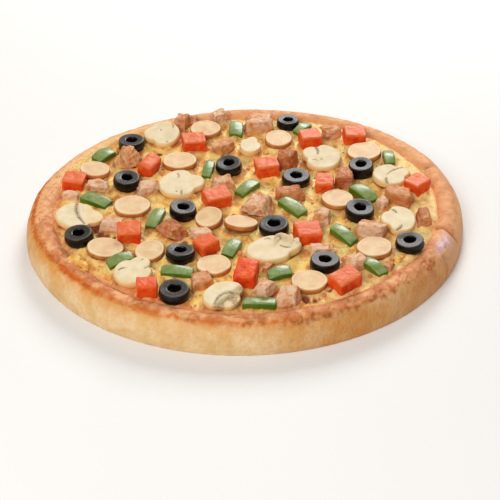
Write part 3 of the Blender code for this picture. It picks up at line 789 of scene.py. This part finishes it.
def pepper_finish():
    """Dark green skin with a wet gloss, painted pale grey-green on top as a sheen on it, and
    yellower green flesh low on the cut sides.
    """
    finish, wire = new_finish(
        "green pepper", Coat_Weight=0.28, Coat_Roughness=0.22, Specular_IOR_Level=0.22
    )
    cloud = wire.speckle(0.004, 3.0).rise(0.3, 0.7)
    # Painted sheen: the green skin on top is lightened to pale grey-green
    skin = wire.mix(cloud, tint(140, 156, 100), tint(104, 130, 68))
    side = wire.mix(cloud, tint(38, 92, 2), tint(68, 112, 6))
    flesh = wire.mix(cloud, tint(136, 138, 0), tint(98, 120, 2))
    base = wire.mix(wire.painted("skin"), side, skin)
    base = wire.mix(wire.painted("low"), base, flesh)
    base = wire.mix(wire.painted("tone") * 0.25, base, tint(140, 138, 40))
    fine = wire.speckle(0.0012, 3.0)
    dress(wire, base, 0.25 + 0.25 * fine, wire.bump(fine, 0.0003, 0.4))
    return finish


green = pepper_finish()
for number, (x, y, turn, length, width, arch, lean) in enumerate(PEPPERS, 1):
    draw = np.random.default_rng(PEPPER_SEED + number)
    bar = rounded_bar(length, width, PEPPER_THICKNESS)
    level = bar[..., 2] / (PEPPER_THICKNESS / 2)
    low = step(0.0, -0.7, level)
    # The top face, where the skin's colour carries a painted sheen
    skin = step(0.80, 0.97, level)
    bend = np.cos(math.pi * bar[..., 0] / length)
    bar[..., 0] += draw.uniform(-0.18, 0.18) * bar[..., 1]
    bar[..., 2] += arch * bend - 0.0004 * (bar[..., 1] / width * 2) ** 2
    bar[..., 1] *= 0.88 + 0.12 * bend
    bar = bar + (0.00022 * layered(bar + number, 0.0045, 7))[..., None] * outward(bar)
    bar = set_down(bar, x, y, turn, lean, bottom=CHEESE_TOP - SINK)
    strip = make_surface(
        f"pepper_strip_{number:02d}",
        bar,
        painted={"low": low, "skin": skin, "tone": draw.uniform(0, 1)},
    )
    strip.data.materials.append(green)
    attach(strip, "root")

# Roasted chicken: chunks torn from a cooked breast, pale and stringy inside, browned where
# the grill caught them. Each is a rough block, ridged along its fibres.
CHICKEN_SEED = 300
# A chunk starts a little larger than its list says, as the cuts then make it smaller
CHUNK_SWELL = (1.06, 1.08, 1.05)
# How much of what lies beyond a cut is pressed back towards it
PRESSED = 0.92


def push_corners(block, size, draw, least, most):
    """Moves the 8 corners of a block by random shares of its size, and all between them."""
    share = np.clip(block / size + 0.5, 0, 1)
    moved = np.zeros_like(block)
    for corner in np.ndindex(2, 2, 2):
        near = np.prod(np.where(corner, share, 1 - share), axis=-1)[..., None]
        moved += near * (np.array(corner) - 0.5) * (1 + draw.uniform(least, most, 3))
    return moved * size


def break_off(block, draw, count, least, most):
    """Cuts a block by random planes: most of what lies beyond each is pressed on to it."""
    for _ in range(count):
        way = draw.normal(size=3) * (1, 1, 0.7)
        way /= np.linalg.norm(way)
        out_there = block @ way
        beyond = np.maximum(0, out_there - draw.uniform(least, most) * out_there.max())
        block = block - PRESSED * beyond[..., None] * way
    return block


def chicken_finish():
    """Pale pinkish meat, tan and brown roast on what stands up, whitish torn edges, and
    painted shade in the grooves between the fibres.
    """
    finish, wire = new_finish(
        "roast chicken", Subsurface_Weight=0.04, Coat_Weight=0.05, Specular_IOR_Level=0.2
    )
    cloud = wire.speckle(0.004, 4.0).rise(0.35, 0.65)
    grain = wire.speckle(0.0014, 4.0, 0.6)
    roast = (wire.painted("roast") + (wire.speckle(0.0035, 4.0) - 0.5) * 1.1).rise(0.2, 1.0)
    base = wire.mix(cloud, tint(217, 156, 100), tint(198, 124, 67))
    base = wire.mix(roast, base, tint(180, 96, 46))
    base = wire.mix(roast.rise(0.6, 1.0) * grain.rise(0.4, 0.6) * 0.5, base, tint(146, 68, 30))
    # Painted shade: the grooves between the fibres darkened
    base = wire.mix(wire.painted("fibre_crease_shade") * 0.6, base, tint(184, 96, 48))
    torn = wire.painted("torn") * wire.speckle(0.0032, 4.0).rise(0.30, 0.55)
    base = wire.mix(torn * 0.7, base, tint(234, 200, 170))
    dress(wire, base, 0.46 + 0.25 * grain, wire.bump(grain, 0.0006, 0.6))
    return finish


meat = chicken_finish()
for number, (x, y, turn, length, width, height, roasted, shreds, narrow) in enumerate(CHICKEN, 1):
    draw = np.random.default_rng(CHICKEN_SEED + number)
    size = np.array((length, width, height + 2 * SINK)) * CHUNK_SWELL
    chunk = rounded_bar(*size, 92, 72, 2)
    top = step(0.4, 0.9, chunk[..., 2] / size[2] * 2)
    edge = step(0.60, 0.95, np.sort(abs(chunk) / size * 2, axis=-1)[..., 1])
    chunk[..., :2] *= 1 - narrow * (chunk[..., 2:] / size[2] + 0.5)
    chunk = push_corners(chunk, size, draw, -0.42, 0.10)
    chunk = break_off(chunk, draw, 6, 0.60, 0.92)
    strand = 1 - 2.2 * abs(layered(chunk * (0.28, 1.0, 1.0) + number, 0.0034, 9, 2))
    lump = layered(chunk + number, 0.0048, 3)
    shred = layered(chunk * (0.5, 1, 1) + number, 0.0020, 16, 2)
    height_off = 0.00070 * lump + (0.00015 + 0.00090 * shreds**2) * strand + 0.00028 * shred
    height_off += 0.00110 * edge * layered(chunk + number, 0.0030, 17)
    whitish = max(0, 1 - 4 * roasted)
    tears = layered(chunk + number, 0.0060, 15) + 0.7 * whitish + 0.35 * strand * shreds
    torn = step(0.05, 0.55, tears) * (1 - 0.8 * roasted)
    roast = roasted + 0.55 * lump - 0.10 * top
    chunk = chunk + height_off[..., None] * outward(chunk)
    tallest = height + SINK + 0.0008
    chunk[..., 2] *= min(1, tallest / (chunk[..., 2].max() - chunk[..., 2].min()))
    chunk = set_down(chunk, x, y, turn, bottom=CHEESE_TOP - SINK)
    piece = make_surface(
        f"chicken_chunk_{number:02d}",
        chunk,
        painted={
            "roast": np.clip(roast, 0, 1),
            "torn": torn,
            # Painted shade in the fibre grooves
            "fibre_crease_shade": step(0.1, -0.6, strand + 0.8 * shred),
        },
    )
    piece.data.materials.append(meat)
    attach(piece, "root")

# Black olives: pitted olives cut across into rings, the skin black and wet, the cut face a
# dull dark grey. Each is a barrel's section carried round its hole.
OLIVE_HOLE = 0.37


def full_turn(count):
    """Evenly spaced angles once round, in radians, one to a row."""
    return np.linspace(0, 2 * math.pi, count, endpoint=False)[:, None]


def olive_section(radius, height, count):
    """The barrel's side, the flat cut faces, and the wall of the hole."""
    hole = radius * OLIVE_HOLE
    corners = (
        (hole, 0.0),
        (radius * 0.86, 0.0),
        (radius * 0.98, height * 0.28),
        (radius, height * 0.55),
        (radius * 0.93, height * 0.97),
        (radius * 0.88, height),
        (hole * 1.10, height * 0.97),
        (hole * 0.98, height * 0.85),
    )
    return rounded_path(corners, count, 1, closed=True)


def olive_finish():
    """Black skin under a wet coat, a dark grey cut face with paler flecks, and a painted
    highlight round the face's outer edge.
    """
    finish, wire = new_finish(
        "black olive", Coat_Weight=0.14, Coat_Roughness=0.12, Specular_IOR_Level=0.22
    )
    grain = wire.speckle(0.0014, 3.0)
    skin = wire.mix(grain, tint(7, 6, 5), tint(20, 17, 15))
    face = wire.mix(grain.rise(0.35, 0.7), tint(25, 21, 15), tint(58, 48, 36))
    # Painted highlight: a paler ring round the outer edge of the cut face
    face = wire.mix(wire.painted("face_edge_highlight") * 0.6, face, tint(96, 87, 74))
    cut = wire.painted("cut")
    base = wire.mix(cut, skin, face)
    base = wire.mix(wire.painted("hole"), base, tint(8, 7, 8))
    dress(wire, base, 0.22 + 0.3 * cut, wire.bump(grain, 0.0004, 0.6))
    return finish


black = olive_finish()
for number, (x, y, radius, height, lean_x, lean_y) in enumerate(OLIVES, 1):
    ring = olive_section(radius, height, 60)
    spin = full_turn(72)
    outer = ring[None, :, 0] / radius
    lobes = 0.6 * np.sin(5 * spin + number) + 0.7 * np.sin(2 * spin + 2 * number)
    distance = ring[None, :, 0] * (1 + 0.05 * lobes * step(0.75, 0.35, outer))
    level = ring[None, :, 1] + 0 * spin
    olive = np.stack((distance * np.cos(spin), distance * np.sin(spin), level), axis=-1)
    olive = olive * (1 + 0.025 * noise(olive + number, 0.008, 13))[..., None]
    height_share = ring[None, :, 1] / height
    face = step(0.93, 0.985, height_share) * step(0.42, 0.48, outer)
    hole = step(0.46, 0.40, outer) * step(1.0, 0.9, height_share)
    olive = set_down(olive, x, y, 0, lean_x, lean_y)
    piece = make_surface(
        f"olive_ring_{number:02d}",
        olive,
        capped=False,
        # The face's outer ring carries a painted highlight
        painted={"cut": face, "hole": hole, "face_edge_highlight": face * step(0.72, 0.86, outer)},
    )
    piece.data.materials.append(black)
    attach(piece, "root")
    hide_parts(f"olive_{number:02d}")

# Mushrooms: button mushrooms sliced from cap to stem, cream and a little dry from the oven,
# with short brown strokes where the gills were cut. Each is an outline closed to its middle
# above and below, thickest a little way in from its edge.
MUSHROOM_THICKNESS = 0.0046

# Brown strokes: number of the slice, where a stroke starts and ends on the pizza, how far
# it bends aside (share of its length), half width
STROKES = (
    (1, -0.0513, 0.0895, -0.0494, 0.0820, 0.10, 0.0006),
    (1, -0.0534, 0.0700, -0.0522, 0.0688, 0.0, 0.0005),
    (1, -0.0575, 0.0810, -0.0570, 0.0800, 0.0, 0.0004),
    (2, -0.0405, 0.0076, -0.0400, 0.0033, -0.10, 0.0006),
    (2, -0.0440, 0.0243, -0.0430, 0.0200, 0.15, 0.0005),
    (2, -0.0439, 0.0068, -0.0433, 0.0062, 0.0, 0.0006),
    (3, 0.0432, 0.0580, 0.0453, 0.0500, 0.12, 0.0010),
    (3, 0.0414, 0.0436, 0.0452, 0.0430, 0.20, 0.0003),
    (3, 0.0470, 0.0450, 0.0480, 0.0448, 0.0, 0.0004),
    (4, 0.0872, 0.0218, 0.0880, 0.0151, -0.10, 0.0009),
    (4, 0.0878, 0.0255, 0.1006, 0.0342, 0.12, 0.0004),
    (5, -0.1028, -0.0084, -0.0970, -0.0285, -0.11, 0.0014),
    (5, -0.0832, -0.0094, -0.0807, -0.0162, 0.10, 0.0005),
    (6, -0.0721, -0.0792, -0.0679, -0.0770, 0.15, 0.0005),
    (6, -0.0577, -0.0774, -0.0538, -0.0722, -0.15, 0.0006),
    (6, -0.0600, -0.0700, -0.0590, -0.0690, 0.0, 0.0004),
    (7, -0.0176, -0.1090, -0.0052, -0.1006, 0.22, 0.0011),
    (7, -0.0120, -0.1060, -0.0060, -0.1040, 0.20, 0.0005),
    (8, 0.0100, -0.0492, 0.0134, -0.0499, 0.20, 0.0006),
    (8, 0.0188, -0.0548, 0.0245, -0.0571, -0.10, 0.0007),
    (8, 0.0199, -0.0400, 0.0178, -0.0509, 0.15, 0.0007),
    (9, 0.0866, -0.0149, 0.0894, -0.0186, 0.10, 0.0009),
    (9, 0.0879, -0.0362, 0.0914, -0.0315, -0.10, 0.0009),
)


def mushroom_reach(turn):
    """Distance to the outline, 1 for a round cap: longer at the stem, at turn 0, and
    shorter at the notch on each side of it."""
    away = abs((turn + math.pi) % (2 * math.pi) - math.pi)
    return 1 + 0.12 * np.exp(-((away / 0.42) ** 2)) - 0.16 * np.exp(-(((away - 0.78) / 0.26) ** 2))


def stroke_depth(place, which):
    """1 on the strokes of a slice and 0 away from them: by how far aside of its chord a
    point lies, less the bend there, and how far beyond its ends."""
    depth = np.zeros(place.shape[:-1])
    for number, x0, y0, x1, y1, bend, half_width in STROKES:
        if number == which:
            length = math.hypot(x1 - x0, y1 - y0)
            run = np.array((x1 - x0, y1 - y0)) / length
            from_start = place[..., :2] - (x0, y0)
            along = from_start @ run / length
            aside = from_start @ np.array((-run[1], run[0]))
            inside = np.clip(along, 0, 1)
            off_bend = aside - bend * length * 4 * inside * (1 - inside)
            apart = np.hypot(off_bend, (along - inside) * length)
            taper = 0.55 + 1.8 * inside * (1 - inside)
            depth = np.maximum(depth, np.exp(-((apart / (half_width * taper)) ** 2)))
    return depth


def mushroom_section(half):
    """From the middle of the underside, out, up the side, and in over the top, for a slice
    that is this wide on each side. Shares of that half, thickest a little way in."""
    corners = (
        (PINHOLE, 0.0),
        (0.93, 0.0),
        (1.0, 0.3 * MUSHROOM_THICKNESS / half),
        (1.0, 0.75 * MUSHROOM_THICKNESS / half),
        (0.94, MUSHROOM_THICKNESS / half),
        (PINHOLE, 0.96 * MUSHROOM_THICKNESS / half),
    )
    return rounded_path(corners, 96, 4)


def mushroom_finish():
    """Cream flesh, a yellower edge, brown gill strokes, the same brown as painted shade on a
    lowered stem half, and a few faint tan blotches.
    """
    finish, wire = new_finish("sliced mushroom", Subsurface_Weight=0.06, Specular_IOR_Level=0.35)
    cloud = wire.speckle(0.006, 4.0).rise(0.3, 0.7)
    grain = wire.speckle(0.0014, 4.0, 0.6)
    base = wire.mix(cloud, tint(234, 216, 179), tint(225, 201, 158))
    base = wire.mix(wire.painted("edge") * 0.85, base, tint(238, 192, 124))
    base = wire.mix(grain.rise(0.60, 0.74) * 0.3, base, tint(206, 168, 112))
    broken = wire.speckle(0.0009, 2.0).rise(0.30, 0.62)
    # Brown of the gill strokes, and painted shade on a lowered stem half
    base = wire.mix(wire.painted("gill") * (0.45 + 0.55 * broken), base, tint(104, 80, 46))
    dress(wire, base, 0.5 + 0.2 * grain, wire.bump(grain, 0.0004, 0.5))
    return finish


cream = mushroom_finish()
for number, (x, y, turn, width, length, lean_x, lean_y, drop) in enumerate(MUSHROOMS, 1):
    spin = full_turn(150)
    half = width / 2
    path = mushroom_section(half)
    out, level = path[None, :, 0], path[None, :, 1] * half + 0 * spin
    reach = mushroom_reach(spin) * (1 + 0.018 * np.sin(4 * spin + number) * np.sin(spin))
    lengthwise = out * reach * np.cos(spin) * length / 2
    slab = np.stack((lengthwise, out * reach * np.sin(spin) * half, level), axis=-1)
    upper = step(0.85, 1.0, level / MUSHROOM_THICKNESS)
    slab[..., 2] += 0.00045 * noise(slab + number, 0.007, 17) * upper
    stem_half = step(0.0015, 0.0045, slab[..., 0] + 0.18 * slab[..., 1]) * (drop > 0)
    slab[..., 2] -= drop * stem_half * upper
    edge = step(0.9, 1.0, out) * (1 - upper) + 0.15 * step(0.75, 0.95, out) + 0.35 * stem_half
    slab = set_down(slab, x, y, turn, lean_x, lean_y)
    gill = stroke_depth(slab, number) * upper
    # Painted shade: the gills' brown over the lowered stem half of a slice that drops far, here slice
    # 7
    shade = 0.7 * step(0.0012, 0.0018, drop) * stem_half * step(-0.4, 0.5, noise(slab, 0.0035, 20))
    slab[..., 2] -= 0.0008 * gill * (0.6 + 0.5 * noise(slab, 0.0012, 18))
    piece = make_surface(
        f"mushroom_slice_{number:02d}",
        slab,
        painted={"edge": np.clip(edge, 0, 1) * np.ones_like(spin), "gill": np.maximum(gill, shade)},
    )
    piece.data.materials.append(cream)
    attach(piece, "root")
    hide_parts(f"mushroom_{number:02d}")

# Sausage: rounds cut from a pale cooked sausage, beige and fine-grained on the cut face,
# with a browned, glossy skin round the edge. Each is a disc with soft edges.
SAUSAGE_THICKNESS = 0.0042
SOFT_EDGE = 0.0008
SAUSAGE_PINHOLE = 0.0003


def sausage_section(radius):
    """From the middle of the underside, out, up the side, and in over a top that has a low
    lip near its edge."""
    corners = (
        (SAUSAGE_PINHOLE, 0.0),
        (radius - SOFT_EDGE, 0.0),
        (radius, SOFT_EDGE),
        (radius, SAUSAGE_THICKNESS - SOFT_EDGE),
        (radius - 0.0007, SAUSAGE_THICKNESS),
        (radius - 0.0014, SAUSAGE_THICKNESS - 0.0001),
        (radius - 0.0022, SAUSAGE_THICKNESS - 0.0003),
        (SAUSAGE_PINHOLE, SAUSAGE_THICKNESS - 0.0002),
    )
    return rounded_path(corners, 72, 2)


def sausage_finish():
    """Beige cut face with faint pink and tan flecks, and a golden to brown side, dark brown
    towards the bottom.
    """
    finish, wire = new_finish("sliced sausage", Subsurface_Weight=0.05, Specular_IOR_Level=0.4)
    cloud = wire.speckle(0.007, 4.0).rise(0.3, 0.7)
    grain = wire.speckle(0.0013, 4.0, 0.6)
    base = wire.mix(cloud, tint(230, 196, 147), tint(220, 175, 126))
    base = wire.mix(grain.rise(0.58, 0.72) * 0.4, base, tint(204, 146, 104))
    base = wire.mix(wire.painted("lip") * 0.5, base, tint(244, 214, 168))
    fried = wire.mix(cloud, tint(204, 132, 60), tint(168, 92, 36))
    fried = wire.mix(wire.painted("low"), fried, tint(104, 46, 12))
    base = wire.mix(wire.painted("side"), base, fried)
    dress(wire, base, 0.45 + 0.2 * grain, wire.bump(grain, 0.0004, 0.4))
    return finish


beige = sausage_finish()
for number, (x, y, radius, turn, lean_x, lean_y) in enumerate(SAUSAGES, 1):
    spin = full_turn(96)
    path = sausage_section(radius)
    out, level = path[None, :, 0], path[None, :, 1] + 0 * spin
    reach = out * (1 + 0.015 * np.sin(2 * spin + number) + 0.010 * np.sin(5 * spin + 2 * number))
    disc = np.stack((1.05 * reach * np.cos(spin), 0.95 * reach * np.sin(spin), level), axis=-1)
    height_share = level / SAUSAGE_THICKNESS
    upper = step(0.85, 0.97, height_share)
    disc[..., 2] += 0.0003 * noise(disc + number, 0.005, 19) * upper
    side = step(0.90, 0.97, out / radius) * step(0.93, 0.82, height_share)
    # The side turns dark brown towards the bottom
    low = step(0.55, 0.1, height_share)
    lip = step(0.80, 0.90, out / radius) * upper
    disc = set_down(disc, x, y, turn, lean_x, lean_y)
    piece = make_surface(
        f"sausage_round_{number:02d}", disc, painted={"side": side, "low": low, "lip": lip}
    )
    piece.data.materials.append(beige)
    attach(piece, "root")
    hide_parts(f"sausage_{number:02d}")

# Tomato: dice cut by hand from a firm red tomato, wet from the oven, paler where the flesh
# was cut on top. Each is a block with rounded edges and corners that aren't quite square.


def tomato_finish():
    """Orange-red flesh, deeper red sides, a wet coat."""
    finish, wire = new_finish(
        "diced tomato",
        Subsurface_Weight=0.04,
        Coat_Weight=0.05,
        Coat_Roughness=0.2,
        Specular_IOR_Level=0.22,
    )
    cloud = wire.speckle(0.004, 3.0).rise(0.3, 0.7)
    grain = wire.speckle(0.0015, 3.0)
    side = wire.mix(cloud, tint(218, 52, 14), tint(234, 98, 28))
    flesh = wire.mix(cloud, tint(230, 130, 78), tint(222, 98, 46))
    base = wire.mix(wire.painted("top") * 0.85, side, flesh)
    dress(wire, base, 0.38 + 0.25 * grain, wire.bump(grain, 0.0005, 0.6))
    return finish


red = tomato_finish()
for number, (x, y, turn, length, width, height, lean_x, lean_y, deep, soft) in enumerate(TOMATOES, 1):
    draw = np.random.default_rng(number - 1)
    dice = rounded_bar(length, width, height, 72, 52, soft)
    top = step(0.55, 0.9, dice[..., 2] / height * 2)
    dice = push_corners(dice, np.array((length, width, height)), draw, -0.07, 0.07)
    bulge = 0.00055 * layered(dice + number, 0.006, 29)
    bulge += 0.00020 * layered(dice + number, 0.0022, 30)
    dice = dice + bulge[..., None] * outward(dice)
    dice = set_down(dice, x, y, turn, lean_x, lean_y)
    piece = make_surface(f"tomato_dice_{number:02d}", dice, painted={"top": top * (1 - deep)})
    piece.data.materials.append(red)
    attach(piece, "root")
    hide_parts(f"tomato_{number:02d}")

# Small things on the cheese: lumps of cheese that kept their form, crumbs of roast chicken,
# dark flecks of seasoning, and shreds at a mushroom's torn edge. Each kind is one mesh of
# many small stones, scattered or set where the real ones are.

# Lumps of cheese: x, y, size
CHEESE_LUMPS = (
    (-0.0985, -0.0640, 0.0050),
    (-0.0955, -0.0680, 0.0042),
    (-0.1005, -0.0675, 0.0026),
    (-0.0925, -0.0735, 0.0022),
    (-0.0335, 0.0075, 0.0028),
    (0.0010, -0.0245, 0.0024),
    (0.0520, -0.0040, 0.0024),
    (0.0865, -0.0605, 0.0030),
    (0.0890, -0.0575, 0.0022),
    (0.0960, 0.0420, 0.0026),
    (-0.0870, 0.0620, 0.0024),
    (0.0030, 0.0480, 0.0026),
    (-0.0560, -0.0420, 0.0024),
)

# Torn ends of mushroom 8, standing up at its back edge: x, y, size
TORN_ENDS = (
    (0.0172, -0.0484, 0.0024),
    (0.0196, -0.0462, 0.0022),
    (0.0176, -0.0516, 0.0018),
    (0.0228, -0.0484, 0.0026),
    (0.0258, -0.0500, 0.0022),
    (0.0284, -0.0526, 0.0018),
)

SCATTER_RADIUS = 0.112
CLEAR_OF_TOPPINGS = 0.0012


def cheese_height(x, y):
    """Height of the nearest point of the cheese."""
    nearest = np.argmin((melt_x - x) ** 2 + (melt_y - y) ** 2)
    return melt.ravel()[nearest]


def make_stones(name, places, flatness, cells, lift=0.0, thin=1.0):
    """One mesh of rough stones. Each is a ball of points, squared up by dividing by the
    fourth root of the sum of fourth powers, pushed about by noise, turned at random, and
    sunk a third into the cheese, or lifted above it."""
    draw = np.random.default_rng(len(places))
    points, faces = [], []
    around, along = cells
    turn = full_turn(around)
    climb = np.linspace(-0.5, 0.5, along + 2)[None, 1:-1] * math.pi
    level = np.sin(climb) + 0 * turn
    ball = np.stack((np.cos(turn) * np.cos(climb), np.sin(turn) * np.cos(climb), level), axis=-1)
    here = np.arange(around * along).reshape(around, along)
    beside = np.roll(here, -1, axis=0)
    quads = np.stack((here[:, :-1], beside[:, :-1], beside[:, 1:], here[:, 1:]), axis=-1)
    for x, y, size in places:
        block = ball / ((abs(ball) ** 4).sum(-1) ** 0.25)[..., None]
        stone = block * (1 + 0.40 * layered(ball + draw.uniform(-9, 9, 3), 0.8, 7))[..., None]
        long_half = size * draw.uniform(0.8, 1.2)
        short_half = size * thin * draw.uniform(0.55, 0.9)
        stone = stone * (long_half, short_half, size * flatness)
        spin = draw.uniform(0, 360)
        stone = stone @ turned(spin, draw.uniform(-20, 20), draw.uniform(-20, 20)).T
        start = len(points) * around * along
        points.append(stone + (x, y, cheese_height(x, y) + lift + 0.3 * size * flatness))
        faces += (quads.reshape(-1, 4) + start).tolist()
        faces += [(here[::-1, 0] + start).tolist(), (here[:, -1] + start).tolist()]
    return new_piece(name, np.concatenate(points).reshape(-1, 3), faces, {})


def scattered(count, least, most, seed):
    """Places between the toppings, spread evenly over the cheese, each with a size."""
    draw = np.random.default_rng(seed)
    found = []
    while len(found) < count:
        x, y = draw.uniform(-SCATTER_RADIUS, SCATTER_RADIUS, 2)
        clear = topping_distance(np.array(x), np.array(y)) > CLEAR_OF_TOPPINGS
        if clear and math.hypot(x, y) < SCATTER_RADIUS:
            found.append((x, y, draw.uniform(least, most)))
    return found


def lump_finish():
    """Yellow cheese with orange-brown clouds, duller than the melted layer."""
    finish, wire = new_finish("unmelted cheese", Subsurface_Weight=0.1, Specular_IOR_Level=0.25)
    cloud = wire.speckle(0.004, 4.0).rise(0.35, 0.65)
    base = wire.mix(cloud, tint(244, 196, 108), tint(222, 144, 58))
    dress(wire, base, 0.50 + 0.2 * cloud, wire.bump(wire.speckle(0.0015), 0.0005, 0.6))
    return finish


def fleck_finish():
    """Reddish brown to dark brown, dull."""
    finish, wire = new_finish("seasoning", Specular_IOR_Level=0.3)
    shade = wire.mix(wire.speckle(0.003), tint(128, 66, 28), tint(74, 50, 22))
    dress(wire, shade, 0.6 + 0.2 * wire.speckle(0.001))
    return finish


crumb_places = scattered(70, 0.0007, 0.0016, 5)
fleck_places = scattered(60, 0.0003, 0.0006, 6)
bits = (
    (make_stones("cheese_lumps", CHEESE_LUMPS, 0.55, (36, 22)), lump_finish()),
    (make_stones("chicken_crumbs", crumb_places, 0.6, (10, 6)), meat),
    (make_stones("seasoning_flecks", fleck_places, 0.4, (8, 5)), fleck_finish()),
)
for piece, finish in bits:
    piece.data.materials.append(finish)
    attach(piece, "root")
torn_ends = make_stones("mushroom_torn_ends", TORN_ENDS, 1.5, (28, 18), MUSHROOM_THICKNESS, 0.45)
torn_ends.data.materials.append(cream)
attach(torn_ends, "root")

# The studio: a pale floor, a broad soft light behind and above that glazes the toppings'
# tops, a weaker one from the front, and a camera that looks down at 33 degrees.
CAMERA_RISE = math.radians(33.04)
CAMERA_DISTANCE = 0.80
FOCAL_IN_WIDTHS = 1287.8 / 500
SENSOR_WIDTH = 36
FLOOR_HALF_SIDE = 3.0
FLOOR_DROP = 0.0002


def make_floor():
    """One large quad, a hair below the pizza's underside."""
    mesh = bpy.data.meshes.new("floor")
    corners = np.array(((-1, -1), (1, -1), (1, 1), (-1, 1))) * FLOOR_HALF_SIDE
    mesh.from_pydata(np.column_stack((corners, np.full(4, -FLOOR_DROP))), [], [(0, 1, 2, 3)])
    finish, wire = new_finish("pale floor", Roughness=0.8)
    soft = wire.speckle(0.4, 2.0)
    dress(wire, wire.mix(soft, tint(236, 234, 230), tint(242, 240, 237)))
    mesh.materials.append(finish)
    floor = bpy.data.objects.new("floor", mesh)
    bpy.context.scene.collection.objects.link(floor)


def soft_light(name, place, size, power):
    """A square lamp at a place, turned towards the middle of the pizza."""
    lamp = bpy.data.lights.new(name, "AREA")
    lamp.size = size
    lamp.energy = power
    holder = bpy.data.objects.new(name, lamp)
    x, y, z = place
    holder.location = place
    holder.rotation_euler = (math.atan2(math.hypot(x, y), z), 0, math.atan2(x, -y))
    bpy.context.scene.collection.objects.link(holder)


make_floor()
soft_light("light behind", (0.22, 1.15, 0.80), 0.55, 14.2)
soft_light("light in front", (-0.50, -1.00, 1.05), 0.9, 16)
world = bpy.data.worlds.new("studio")
world.use_nodes = True
world.node_tree.nodes["Background"].inputs["Color"].default_value = (1, 0.98, 0.95, 1)
world.node_tree.nodes["Background"].inputs["Strength"].default_value = 0.30
bpy.context.scene.world = world
lens = bpy.data.cameras.new("camera")
lens.sensor_width = SENSOR_WIDTH
lens.lens = FOCAL_IN_WIDTHS * SENSOR_WIDTH
# The middle of the picture lies a little off the line that the camera looks along
lens.shift_x = 0.0054
lens.shift_y = -0.0456
camera = bpy.data.objects.new("camera", lens)
camera.location = (
    0,
    -math.cos(CAMERA_RISE) * CAMERA_DISTANCE,
    math.sin(CAMERA_RISE) * CAMERA_DISTANCE,
)
camera.rotation_euler = (math.pi / 2 - CAMERA_RISE, 0, 0)
bpy.context.scene.collection.objects.link(camera)
bpy.context.scene.camera = camera
bpy.context.scene.view_settings.view_transform = "Standard"
